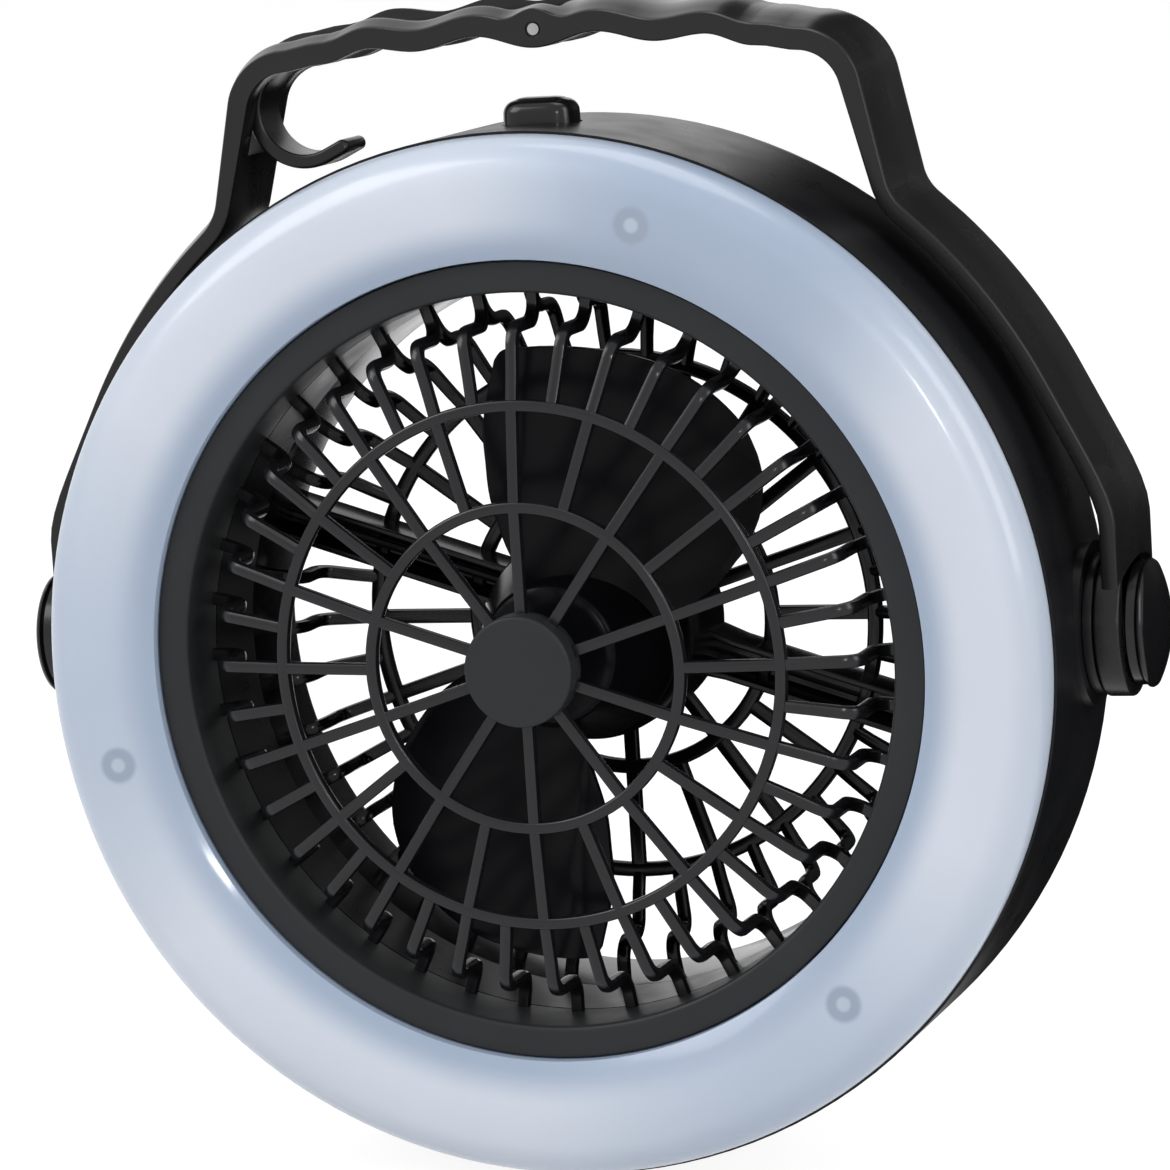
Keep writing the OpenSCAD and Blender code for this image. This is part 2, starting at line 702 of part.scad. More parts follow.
// ---------- rear grille ----------
module rear_grille() color("#232426") on_drum() {
    lug_r = 2.4;
    difference() {
        union() {
            // Sleeve in the duct and the flange on the back
            rotate_extrude($fn = 180) polygon([
                [duct_r, -sleeve_front], [sleeve_r, -sleeve_front],
                [sleeve_r, flange_t - drum_depth], [flange_r, flange_t - drum_depth],
                [flange_r, -drum_depth], [duct_r + 0.8, -drum_depth], [duct_r, 0.8 - drum_depth]]);
            for (a = ear_turns) rotate([0, 0, a]) translate([ear_at, 0, 0])
                disc(ear_r, -drum_depth, flange_t - drum_depth);
            // Motor cup
            rotate_extrude() polygon([
                [0, -cup_back], [cup_r - 1, -cup_back], [cup_r, 1 - cup_back],
                [cup_r, -cup_front], [cup_r - cup_wall, -cup_front],
                [cup_r - cup_wall, cup_wall - cup_back], [0, cup_wall - cup_back]]);
            around(2, arm_turn + 90) translate([cup_r - cup_wall - 2, 0, 0])
                disc(lug_r, 1 - cup_back, -cup_front - 3.2);
            // Wire arms
            around(2, arm_turn) difference() {
                translate([cup_r - 1, -arm_w / 2, -rear_face])
                    cube([duct_r - cup_r + 1.4, arm_w, arm_d]);
                translate([cup_r - 2, 1.3 - arm_w / 2, arm_floor - rear_face])
                    cube([duct_r, arm_w - 2.6, 30]);
            }
        }
        for (a = ear_turns) rotate([0, 0, a]) translate([ear_at, 0, 0]) {
            disc(ear_screw_r + 0.2, -drum_depth - 1, 4 - drum_depth);
            disc(2.1, -drum_depth - 1, 1.3 - drum_depth);
        }
        around(2, arm_turn + 90) translate([cup_r - cup_wall - 2, 0, 0])
            disc(0.9, 2 - cup_back, -cup_front);
        // The lead leaves the cup, and the sleeve, through small holes
        rotate([0, 0, arm_turn]) translate([cup_r - cup_wall - 2, 0, -lead_f])
            rotate([0, 90, 0]) cylinder(r = lead_r + 0.4, h = 6, $fn = 32);
        rotate([0, 0, arm_turn]) translate([duct_r - 4, 0, -lead_f])
            rotate([0, 90, 0]) cylinder(r = lead_r + 0.5, h = 8, $fn = 32);
    }
    grille_ring(rear_in_r, -rear_plane, rear_bar_w);
    grille_ring(rear_out_r, -rear_plane, rear_bar_w);
    around(spoke_count, 90)
        rib(bar(cup_r - 1, -rear_plane, rear_in_r, -rear_plane), rear_bar_w);
    around(2 * spoke_count)
        rib(bar(rear_in_r, -rear_plane, rear_out_r, -rear_plane), rear_bar_w);
    difference() {
        around(4 * spoke_count) mirror([0, 0, 1])
            rib(bent_bar(rear_out_r, rear_plane, rear_root), rear_bar_w * 0.9);
        around(2, arm_turn)
            translate([rear_out_r + 1.6, -arm_w / 2 + 1, arm_floor - rear_face])
            cube([duct_r - rear_out_r - 2, arm_w - 2, rear_plane - sleeve_front]);
    }
}

module rear_grille_screws() color("#b9bcc0") on_drum()
    for (a = ear_turns) rotate([0, 0, a]) translate([ear_at, 0, 0.2 - drum_depth])
        rotate([180, 0, 0]) screw(1.9, 1, ear_screw_r - press_fit, 6);

// ---------- rotor ----------
// Outline of a blade seen from the front, along +X from the hub
function blade_outline() = concat(
    [[9, -12], [13, -17.5], [18, -21.5], [23, -24], [29, -26], [36, -26.5], [42.4, -25.2]],
    [for (a = [-62:12:-2]) [43 + 14 * cos(a), -12.2 + 14 * sin(a)]],
    [for (a = [-8:6:22]) [blade_tip_r * cos(a), blade_tip_r * sin(a)]],
    [[52.2, 24.6], [51, 26], [49.4, 26.5]],
    [[41.8, 25.5], [36, 24.4], [30.8, 22.3], [24.3, 19.3], [17, 14], [9, 8]]
);

module blade() {
    c = cos(blade_pitch);
    points = [for (p = blade_outline()) [p[0], p[1] / c]];
    translate([0, 0, -blade_mid]) rotate([blade_pitch, 0, 0])
        translate([0, 0, -blade_t / 2]) linear_extrude(blade_t) polygon(points);
}

module rotor() color("#17181a") on_drum() {
    back = rotor_front + rotor_depth;
    inner_front = rotor_front + rotor_wall;
    difference() {
        union() {
            rotate_extrude() polygon([
                [0, -rotor_front], [rotor_front_r - 2.6, -rotor_front - 0.2],
                [rotor_front_r - 0.8, -rotor_front - 0.8], [rotor_front_r, -rotor_front - 2],
                [rotor_rear_r, -back + 1.4], [rotor_rear_r, -back], [0, -back]]);
            around(blade_count, blade_turn) blade();
        }
        rotate_extrude() polygon([
            [rotor_boss_r, -inner_front], [rotor_front_r - 2.6, -inner_front],
            [rotor_front_r - rotor_wall, -inner_front - 1.4],
            [rotor_rear_r - rotor_wall, -back + 1.4], [rotor_rear_r - rotor_wall, -back - 1],
            [rotor_boss_r, -back - 1]]);
        disc(rotor_boss_r + 1, -back - 1, -back + 5);
        disc(shaft_r + press_fit, -back - 1, -shaft_front + 0.3);
    }
}

module motor_shaft() color("#c7cacd") on_drum() disc(shaft_r, -shaft_back, -shaft_front);

module motor_armature() color("#a4562c") on_drum() difference() {
    union() {
        difference() {
            disc(armature_r, -armature_back, -armature_front);
            around(3) translate([armature_r / 2, -1.1, -armature_back - 1])
                cube([armature_r, 2.2, armature_back - armature_front + 2]);
        }
        disc(commutator_r, -armature_back - 1.2, -armature_back + 0.1);
    }
    disc(shaft_r + press_fit, -can_front - 12, -can_front);
}

module motor_can() color("#a9adb1") on_drum() difference() {
    union() {
        disc(can_r, -can_front - can_len, -can_front);
        disc(can_boss_r, -can_front - 1, -cup_front + cover_t - 0.3);
    }
    disc(can_r - can_wall, -can_front - can_len - 1, -can_front - can_wall);
    disc(bush_r + press_fit, -can_front - 2, -cup_front + cover_t + 1);
    around(2) translate([8.5, 0, 0]) disc(0.8, -can_front - 1, -can_front + 1);
}

module motor_magnets() color("#4d4f52") on_drum() intersection() {
    tube(can_r - can_wall - press_fit * 2, can_r - can_wall - magnet_t,
        -can_front - can_len + 1.3, -can_front - 2);
    translate([-can_r, -magnet_w / 2, -can_front - can_len])
        cube([2 * can_r, magnet_w, can_len]);
}

module motor_bushes() color("#c79a4b") on_drum() {
    tube(bush_r, shaft_r + run_fit, -cup_front + cover_t - 0.6 - bush_len,
        -cup_front + cover_t - 0.6);
    tube(bush_r, shaft_r + run_fit, -can_front - can_len - seat_gap - end_cap_t + 0.4,
        -can_front - can_len - seat_gap + 0.8);
}

module motor_end_cap() color("#2c2d30") on_drum() difference() {
    f0 = -can_front - can_len - seat_gap;
    union() {
        disc(can_r, f0 - end_cap_t, f0);
        disc(can_r - can_wall - seat_gap, f0 - 1, f0 + 0.9);
        for (s = [-1, 1]) translate([s * 7 - 0.3, -1.2, f0 - end_cap_t - 1]) cube([0.6, 2.4, 1.2]);
    }
    disc(bush_r + press_fit, f0 - end_cap_t + 0.4 - tiny, f0 + 2);
    disc(shaft_r + 0.2, f0 - end_cap_t - 1, f0 + 2);
}

module motor_cover() color("#232426") on_drum() difference() {
    union() {
        disc(cup_r - seat_gap, -cup_front + seat_gap, -cup_front + cover_t);
        tube(cup_r - cup_wall - seat_gap, cup_r - cup_wall - 1.2, -cup_front - 2.4, -cup_front + 1);
    }
    disc(can_boss_r + seat_gap, -cup_front - 1, -cup_front + cover_t + 1);
    around(2) translate([8.5, 0, 0]) disc(1, -cup_front - 1, -cup_front + cover_t + 1);
    around(2, arm_turn + 90) translate([cup_r - cup_wall - 2, 0, 0])
        disc(1.1, -cup_front - 4, -cup_front + cover_t + 1);
    around(2, arm_turn + 90) translate([cup_r - cup_wall - 2, 0, 0])
        disc(2.6, -cup_front - 4, -cup_front);
}

module motor_screws() color("#b9bcc0") on_drum() {
    top = -cup_front + cover_t + seat_gap + 0.9;
    around(2) translate([8.5, 0, top]) screw(1.7, 0.9, 0.8 - press_fit, cover_t + 1.9);
    around(2, arm_turn + 90) translate([cup_r - cup_wall - 2, 0, top])
        screw(1.9, 0.9, 0.9 - press_fit, 9);
}

// The motor's lead lies in a wire arm, leaves the duct and climbs to the switch board
module motor_lead() color("#1b1b1d") on_drum() swept_tube(concat(
    [[can_r + lead_start, 0, -lead_f], [can_r + 6, 0, -lead_f], [40, 0, -lead_f],
     [duct_out_r - 4, 0, -lead_f], [duct_out_r - 0.5, -0.1, -lead_f],
     [duct_out_r + 1.6, -1.2, -lead_f + 0.3]],
    [for (i = [0:14]) let (t = i / 14, a = -2.6 - t * (arm_turn - lead_top_turn - 2.6))
        [lead_up_r * cos(a), lead_up_r * sin(a),
            0.8 - lead_f + (lead_f - 0.8 - lead_end_f) * ease(t)]],
    [for (i = [1:3]) let (t = i / 3, a = lead_top_turn, p = lead_up_r * [cos(a), sin(a)],
        q = p + t * ([-13, pcb_top - pcb_t - lead_r - 2 * seat_gap] - p))
        [q[0], q[1], -lead_end_f] * turn_matrix(-arm_turn)]
) * turn_matrix(arm_turn), lead_r, 8);

function turn_matrix(a) = [[cos(a), sin(a), 0], [-sin(a), cos(a), 0], [0, 0, 1]];

// ---------- power button and switch ----------
module at_button() {
    translate([0, seam_y + button_y, axis_h]) children();
}

module power_button() color("#141517") at_button() {
    r = button_d / 2 - 0.6;
    soft = 0.9;
    translate([0, 0, button_flange_top - tiny])
        rounded_block(button_w, button_d, button_top - soft - button_flange_top, r);
    translate([0, 0, button_top - soft - 2 * tiny])
        rounded_block(button_w - soft, button_d - soft, soft / 2 + 2 * tiny, r - soft / 2);
    translate([0, 0, button_top - soft / 2 - tiny])
        rounded_block(button_w - 2.6 * soft, button_d - 2.6 * soft, soft / 2 + tiny,
            r - 1.3 * soft);
    translate([0, 0, button_flange_top - button_flange_t])
        rounded_block(button_w + 2 * flange_over, button_d + 2 * flange_over,
            button_flange_t, r + flange_over);
    translate([0, 0, plunger_top + seat_gap])
        cylinder(r = 3, h = button_flange_top - button_flange_t - plunger_top, $fn = 40);
}

module switch_plunger() color("#e8e8e4") at_button()
    translate([-1.8, -1.8, switch_top - 2.4])
    cube([3.6, 3.6, plunger_top - switch_top + 2.4]);

module power_switch() color("#3a3b3d") at_button() difference() {
    translate([-switch_w / 2, -switch_w / 2, switch_top - switch_h])
        cube([switch_w, switch_w, switch_h]);
    translate([-1.9, -1.9, switch_top - 4.4]) cube([3.8, 3.8, 6]);
}

module switch_board() color("#2f6b3f") at_button() difference() {
    translate([-pcb_w / 2, -pcb_d / 2, pcb_top - pcb_t]) cube([pcb_w, pcb_d, pcb_t]);
    for (side = [-1, 1]) translate([side * pcb_screw_at, 0, pcb_top - 3])
        cylinder(r = 1.1, h = 4, $fn = 32);
}

module board_screws() color("#b9bcc0") at_button()
    for (side = [-1, 1]) translate([side * pcb_screw_at, 0, pcb_top + seat_gap + 0.9])
    screw(1.8, 0.9, 0.9 - press_fit, 6);

module led_lead() color("#2b3f7d") at_button() {
    y0 = -pcb_d / 2 - 1;
    z0 = pcb_top - pcb_t - lead_r - seat_gap;
    y1 = -button_y - board_f + seat_gap;
    swept_tube(concat([[led_lead_x, y0 + 3, z0]], [for (i = [0:8]) let (t = i / 8)
        [led_lead_x, y0 + (y1 - y0) * t, z0 + (led_lead_z - z0) * ease(t)]]), lead_r, 8);
}

// ---------- batteries ----------
// Tongue that holds the door's inner edge behind the housing's back
module door_tongue(gap) {
    for (side = [-1, 1]) at_pack(side) {
        translate([-5 - gap, door_in_r - cell_r - 0.85 - gap,
            seat_gap + drum_wall - drum_depth - 3 * gap]) cube([10 + 2 * gap, 4, 1.2 + 4 * gap]);
        translate([-5 - gap, door_in_r - cell_r + 0.4, drum_wall - drum_depth - 0.5])
            cube([10 + 2 * gap, 3 - 0.4, 1.2]);
    }
}

// Places a pair of cells: local X along the cells, local Y outwards
module at_pack(side) {
    rotate([0, 0, 270 + side * cell_turn]) translate([cell_r, 0, 0]) rotate([0, 0, -90])
        children();
}

module battery_tray() color("#2a2b2d") on_drum() difference() {
    union() {
        for (side = [-1, 1]) at_pack(side) difference() {
            translate([-pack_half - tray_wall, -tray_in_h / 2 - tray_wall, -pack_back])
                cube([2 * (pack_half + tray_wall), tray_in_h + 2 * tray_wall,
                    pack_back - pack_front + 1]);
            translate([-pack_half, -tray_in_h / 2, -pack_back - 1])
                cube([2 * pack_half, tray_in_h, pack_back - pack_front + 1]);
        }
        // Bridge that ties the two halves together
        rotate([0, 0, 270]) translate([cell_r - 6, -5, -pack_front - 0.2])
            cube([3, 10, 1.4]);
    }
    // Keeps clear of the drum's rounded rear edge
    rotate_extrude($fn = 180) polygon(concat(
        [[drum_r - rear_round, -60], [140, -60], [140, rear_round - drum_depth]],
        arc(drum_r - rear_round, rear_round - drum_depth, rear_round - drum_wall - move_gap,
            0, -90, 8)));
    door_tongue(0.3);
}

module battery_contacts() color("#c9ccd0") on_drum()
    for (side = [-1, 1], s = [-1, 1], k = [0, 1]) at_pack(side)
        translate([s * (pack_half - 0.1), 0, -cell_f1 - k * cell_pitch]) rotate([0, 0, 90 - 90 * s])
        translate([-0.35, 0, 0]) {
            translate([0, -4.5, -4.5]) cube([0.35, 9, 9]);
            rotate([90, 0, 0]) translate([0, 0, -1.5]) linear_extrude(3)
                polygon([[0.1, 3], [-0.85, 0.6], [-0.85, -0.6], [0.1, -3], [0.1, -2.4],
                    [-0.55, -0.4], [-0.55, 0.4], [0.1, 2.4]]);
        }

module battery_cells() color("#8a8d38") on_drum()
    for (side = [-1, 1], k = [0, 1]) at_pack(side)
        translate([0, 0, -cell_f1 - k * cell_pitch]) rotate([0, 90 - 180 * k, 0]) {
            translate([0, 0, -cell_len / 2]) cylinder(r = cell_d / 2, h = cell_len - 1.2);
            translate([0, 0, cell_len / 2 - 1.3]) cylinder(r = 2.7, h = 1.3, $fn = 40);
        }

module battery_door() color("#1c1d1f") on_drum() difference() {
    union() {
        door_shape(door_gap);
        door_tongue(0);
    }
    rotate([0, 0, 270]) translate([door_screw_at, 0, 0]) {
        disc(screw_r + 0.3, -drum_depth - 1, 4 - drum_depth);
        disc(head_r + 0.3, -drum_depth - 1, door_head_depth - drum_depth);
    }
    // Finger notch
    rotate([0, 0, 270]) translate([door_in_r + 2.2, 0, -drum_depth - 0.2])
        rotate([0, 0, 90]) translate([-6, -1.2, 0]) cube([12, 2.4, 1]);
}

module door_screw() color("#b9bcc0") on_drum()
    rotate([0, 0, 270]) translate([door_screw_at, 0, door_head_depth - 1.2 - drum_depth])
    rotate([180, 0, 0]) screw(head_r, 1.1, screw_r - press_fit, 12);

// ---------- pivots ----------
module friction_washers() color("#2e2e30") for (side = [-1, 1]) on_pivot(side) difference() {
    translate([0, 0, pad_x + seat_gap]) cylinder(r = washer_r, h = washer_t);
    translate([0, 0, pad_x - 1]) cylinder(r = pivot_screw_r + run_fit, h = washer_t + 3);
}

module pivot_inserts() color("#c79a4b") for (side = [-1, 1]) on_pivot(side) difference() {
    translate([0, 0, insert_x - 0.5]) cylinder(r = insert_r, h = insert_len - 0.1);
    translate([0, 0, insert_x - 1]) cylinder(r = pivot_screw_r + press_fit, h = insert_len + 2);
}

module pivot_screws() color("#b9bcc0") for (side = [-1, 1]) on_pivot(side)
    translate([0, 0, neck_x + pivot_head_t - 0.2])
    screw(pivot_head_r, pivot_head_t, pivot_screw_r, neck_x + pivot_head_t - insert_x - 0.6);

module knob_caps() color("#141517") for (side = [-1, 1]) on_pivot(side) difference() {
    flange = neck_x + neck_t;
    dome_r = (cap_r * cap_r + cap_dome * cap_dome) / (2 * cap_dome);
    rotate_extrude() polygon(concat(
        [[0, neck_x], [neck_r - 0.4, neck_x], [neck_r, neck_x + 0.4], [neck_r, flange - 0.3],
         [neck_r - 0.5, flange], [cap_r - 0.3, flange + 0.1], [cap_r, flange + 0.5]],
        [for (i = [1:10]) let (r = (cap_r - 0.2) * (1 - i / 10))
            [r, flange + 0.9 + sqrt(dome_r * dome_r - r * r) - dome_r + cap_dome]]));
    translate([0, 0, neck_x - 1])
        cylinder(r = pivot_head_r + press_fit, h = pivot_head_t + 1 + seat_gap);
}

// ---------- handle ----------
// Wave of the grip's inner side: height above the corner level at distance x from the middle
function grip_wave(x) = let (
        i = max([for (k = [0:len(grip_knots) - 2]) if (grip_knots[k][0] <= x) k]),
        a = grip_knots[i], b = grip_knots[i + 1]
    ) a[1] + (b[1] - a[1]) * ease((x - a[0]) / (b[0] - a[0]));

// Right half of the inner contour, from the eye to the middle of the grip
leg_dir = [-sin(leg_lean), cos(leg_lean)];
corner_c = [grip_half, corner_z - corner_r];
corner_in = corner_c + corner_r * [cos(leg_lean), sin(leg_lean)];
arc_end_a = 48;
arc_end = leg_in_r * [cos(arc_end_a), sin(arc_end_a)];
arc_dir = [-sin(arc_end_a), cos(arc_end_a)];
// Where the leg's arc, run on straight, meets the upper leg's line
meet_t = ((corner_in[0] - arc_end[0]) * leg_dir[1] - (corner_in[1] - arc_end[1]) * leg_dir[0])
    / (arc_dir[0] * leg_dir[1] - arc_dir[1] * leg_dir[0]);
meet = arc_end + meet_t * arc_dir;
bend_len = shoulder_r * tan((arc_end_a - leg_lean) / 2);
bend_c = meet + bend_len * leg_dir + shoulder_r * [cos(leg_lean), sin(leg_lean)];

half_contour = concat(
    [[leg_in_x, -2], [leg_in_x, 10], [leg_in_x, kink_z - 1.2]],
    [leg_in_r * [cos(lean_a), sin(lean_a)] + 21 * [sin(lean_a), -cos(lean_a)]],
    [for (a = [lean_a:4:arc_end_a - 6]) leg_in_r * [cos(a), sin(a)]],
    [for (i = [0:6]) let (a = 180 + arc_end_a + (leg_lean - arc_end_a) * i / 6)
        bend_c + shoulder_r * [cos(a), sin(a)]],
    arc(corner_c[0], corner_c[1], corner_r, leg_lean, 81, 8),
    [for (i = [0:22]) let (x = 42.5 * (1 - i / 22)) [x, corner_z + grip_wave(x)]]
);
contour = concat(half_contour,
    [for (i = [len(half_contour) - 2:-1:0]) [-half_contour[i][0], half_contour[i][1]]]);

// Cross-section of the band: [across, outwards], flat inside and crowned outside
crown_shape = [[1, 0], [0.95, 0.45], [0.84, 0.76], [0.6, 0.94], [0, 1]];
function band_section(edge, crown) = concat(
    [[-band_w / 2, 0], [band_w / 2, 0]],
    [for (c = crown_shape) [c[0] * band_w / 2, edge + c[1] * crown]],
    [for (i = [len(crown_shape) - 2:-1:0])
        [-crown_shape[i][0] * band_w / 2, edge + crown_shape[i][1] * crown]]
);

function edge_at(p) = let (
        up = min(1, max(0, (p[1] - 84) / 20)),
        bulge = abs(p[0]) < bulge_half && p[1] > 100
            ? centre_bulge * (1 + cos(180 * p[0] / bulge_half)) / 2 : 0
    ) leg_t + (grip_t - leg_t) * up + bulge;

module handle_band() {
    n = len(contour);
    rings = [for (i = [0:n - 1]) let (
            d = unit(contour[min(i + 1, n - 1)] - contour[max(i - 1, 0)]),
            out = [d[1], -d[0]], p = contour[i],
            bulge = edge_at(p) - leg_t > 1.2 ? 0.45 : 1
        ) [for (s = band_section(edge_at(p), band_crown * bulge))
            [p[0] + out[0] * s[1], s[0], p[1] + out[1] * s[1]]]];
    m = len(rings[0]);
    polyhedron([for (ring = rings, v = ring) v], concat(
        [for (i = [0:n - 2], k = [0:m - 1])
            let (a = i * m + k, b = i * m + (k + 1) % m) [a, b, b + m, a + m]],
        [[for (k = [m - 1:-1:0]) k]],
        [[for (k = [0:m - 1]) (n - 1) * m + k]]), convexity = 10);
}

module handle() color("#232426") difference() {
    union() {
        translate([0, seam_y + handle_y, axis_h]) handle_band();
        for (side = [-1, 1]) on_pivot(side) translate([0, 0, eye_x])
            cylinder(r = eye_r, h = eye_t);
    }
    for (side = [-1, 1]) on_pivot(side) {
        translate([0, 0, eye_x - 5]) cylinder(r = pivot_screw_r + run_fit, h = eye_t + 10);
        translate([0, 0, eye_x + eye_t]) cylinder(r = cap_r + 1.2, h = 20);
    }
    // Slot for the hook in the left half, and the pin's bore
    translate([-80, seam_y + handle_y - slot_w / 2, axis_h + slot_low])
        cube([80 + slot_end, slot_w, 60]);
    translate([0, seam_y + handle_y, axis_h + pin_z]) rotate([90, 0, 0])
        translate([0, 0, -band_w]) cylinder(r = pin_r + press_fit, h = 2 * band_w, $fn = 48);
    translate([0, seam_y + handle_y - band_w / 2 - 1, axis_h + pin_z]) rotate([-90, 0, 0])
        cylinder(r = pin_r + 0.35, h = 1.5, $fn = 48);
}

// ---------- hanging hook ----------
module hanger_hook() color("#232426") translate([0, seam_y + handle_y, axis_h])
    rotate([90, 0, 0]) translate([0, 0, -hook_w / 2]) difference() {
        out_r = hook_in_r + hook_t;
        c = [-grip_half + 0.8, corner_c[1] + 0.4];
        start_a = 98;
        tip_a = 296;
        tip_len = 3.6;
        bend = arc(c[0], c[1], out_r, start_a - 2, tip_a, 20);
        inner = arc(c[0], c[1], hook_in_r, tip_a, start_a + 2, 20);
        tip_dir = [-sin(tip_a), cos(tip_a)];
        tip_mid = c + (hook_in_r + hook_t / 2) * [cos(tip_a), sin(tip_a)] + tip_len * tip_dir;
        union() {
            linear_extrude(hook_w) polygon(concat(
                [[0, pin_z + 1.9], [-36, pin_z + 1.9]], bend,
                [for (i = [1:7]) let (a = tip_a - 180 * (1 - i / 8))
                    tip_mid - hook_t / 2 * [-cos(a + 180), -sin(a + 180)]],
                inner, [[-37, pin_z - 1.1], [0, pin_z - 1.1]]));
            translate([0, pin_z, 0]) cylinder(r = hook_eye_r, h = hook_w, $fn = 48);
        }
        translate([0, pin_z, -1]) cylinder(r = pin_r + run_fit, h = hook_w + 2, $fn = 48);
    }

module hook_pin() color("#c7cacd") translate([0, seam_y + handle_y, axis_h + pin_z])
    rotate([90, 0, 0]) translate([0, 0, -band_w / 2 + 0.2])
    cylinder(r = pin_r, h = band_w - 0.4, $fn = 48);

// ---------- feet ----------
module foot_block(side, gap) {
    w = foot_out - foot_in + 2 * gap;
    on_drum() difference() {
        translate([side * (foot_in + foot_out) / 2 - w / 2, -drum_r - foot_h,
            -foot_y - foot_len - gap]) cube([w, 8, foot_len + 2 * gap]);
        translate([0, 0, -61]) cylinder(r = drum_r - foot_seat - gap / 2, h = 62, $fn = 360);
    }
}

module feet() color("#2b2b2b") for (side = [-1, 1]) foot_block(side, 0);

diffuser_ring();
led_board();
leds();
light_tray();
ring_screws();
front_grille();
grille_screws();
rear_housing();
housing_screws();
rear_grille();
rear_grille_screws();
rotor();
motor_shaft();
motor_armature();
motor_can();
motor_magnets();
motor_bushes();
motor_end_cap();
motor_cover();
motor_screws();
motor_lead();
power_button();
switch_plunger();
power_switch();
switch_board();
board_screws();
led_lead();
battery_tray();
battery_contacts();
battery_cells();
battery_door();
door_screw();
friction_washers();
pivot_inserts();
pivot_screws();
knob_caps();
handle();
hanger_hook();
hook_pin();
feet();
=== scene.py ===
"""Looks of a portable camping fan, built in metres around its fixed mechanical frame.

Sizes in the classes are millimetres on the drum's axis: r is the radius, f the distance in
front of the seam between light ring and housing, and angles run from +X towards +Z.
"""
import logging
import math
from dataclasses import dataclass, field
from enum import Enum
from functools import cached_property

import bmesh
import bpy
from mathutils import Matrix, Vector


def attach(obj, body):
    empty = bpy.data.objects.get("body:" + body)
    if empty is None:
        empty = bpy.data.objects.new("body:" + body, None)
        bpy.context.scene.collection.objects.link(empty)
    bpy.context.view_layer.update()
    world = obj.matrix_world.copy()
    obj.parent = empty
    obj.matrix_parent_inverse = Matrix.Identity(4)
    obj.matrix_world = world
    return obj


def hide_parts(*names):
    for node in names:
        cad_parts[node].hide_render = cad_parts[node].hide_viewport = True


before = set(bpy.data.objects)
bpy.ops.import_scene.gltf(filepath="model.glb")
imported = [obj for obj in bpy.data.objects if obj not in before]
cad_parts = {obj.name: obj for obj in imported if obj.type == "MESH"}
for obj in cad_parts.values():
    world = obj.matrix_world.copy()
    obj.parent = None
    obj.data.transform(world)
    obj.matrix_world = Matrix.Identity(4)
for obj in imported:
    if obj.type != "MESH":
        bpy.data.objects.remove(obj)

LOG = logging.getLogger("camping_fan")
MM = 0.001
AXIS_Z = 98.8
SEAM_Y = -19.45
PIVOT_Y = 29.5
PIVOT_RISE = 1.0
BORE_R = 3.05
FRONT = Vector((0, -1, 0))
CREASE = math.radians(38.0)
Point = tuple[float, float]
Triple = tuple[float, float, float]
Loop = list[Vector]
Socket = bpy.types.NodeSocket


class Body(Enum):
    """Moving groups of the fan."""

    FAN = "fan"
    HANDLE = "handle"
    HOOK = "hook"
    ROTOR = "rotor"
    BUTTON = "button"


# ---------------------------------------------------------------- node trees
class Wiring:
    """Nodes and links of a material or of the world."""

    def __init__(self, owner: bpy.types.Material | bpy.types.World) -> None:
        """Opens the owner's node tree.

        Args:
            owner: material or world.
        """
        owner.use_nodes = True
        self.nodes = owner.node_tree.nodes
        self.links = owner.node_tree.links

    def feed(self, socket: Socket, value: float | tuple[float, ...] | Socket) -> None:
        """Sets a socket, or links it to another one.

        Args:
            socket: socket to feed.
            value: number, colour or socket.
        """
        if isinstance(value, Socket):
            self.links.new(value, socket)
        else:
            socket.default_value = value

    def calc(self, operation: str, *values: float | Socket, clamp: bool = False) -> Socket:
        """Adds a step of arithmetic.

        Args:
            operation: name of the operation.
            values: its inputs.
            clamp: whether the result stays between 0 and 1.

        Returns:
            The result.
        """
        node = self.nodes.new("ShaderNodeMath")
        node.operation = operation
        node.use_clamp = clamp
        for socket, value in zip(node.inputs, values):
            self.feed(socket, value)
        return node.outputs["Value"]

    def blend(self, mask: Socket, base: Triple | Socket, colour: Triple | Socket) -> Socket:
        """Lays a colour over another one where the mask is one.

        Args:
            mask: where the colour lies.
            base: colour underneath.
            colour: colour on top.

        Returns:
            The blended colour.
        """
        node = self.nodes.new("ShaderNodeMix")
        node.data_type = "RGBA"
        self.links.new(mask, node.inputs[0])
        for index, layer in ((6, base), (7, colour)):
            self.feed(node.inputs[index], (*layer, 1.0) if isinstance(layer, tuple) else layer)
        return node.outputs[2]

    def seen(self) -> Socket:
        """One for rays that show the surroundings: seen, mirrored or through glass.

        Returns:
            The mask.
        """
        path = self.nodes.new("ShaderNodeLightPath").outputs
        first = self.calc("MAXIMUM", path["Is Camera Ray"], path["Is Glossy Ray"])
        return self.calc("MAXIMUM", first, path["Is Transmission Ray"])


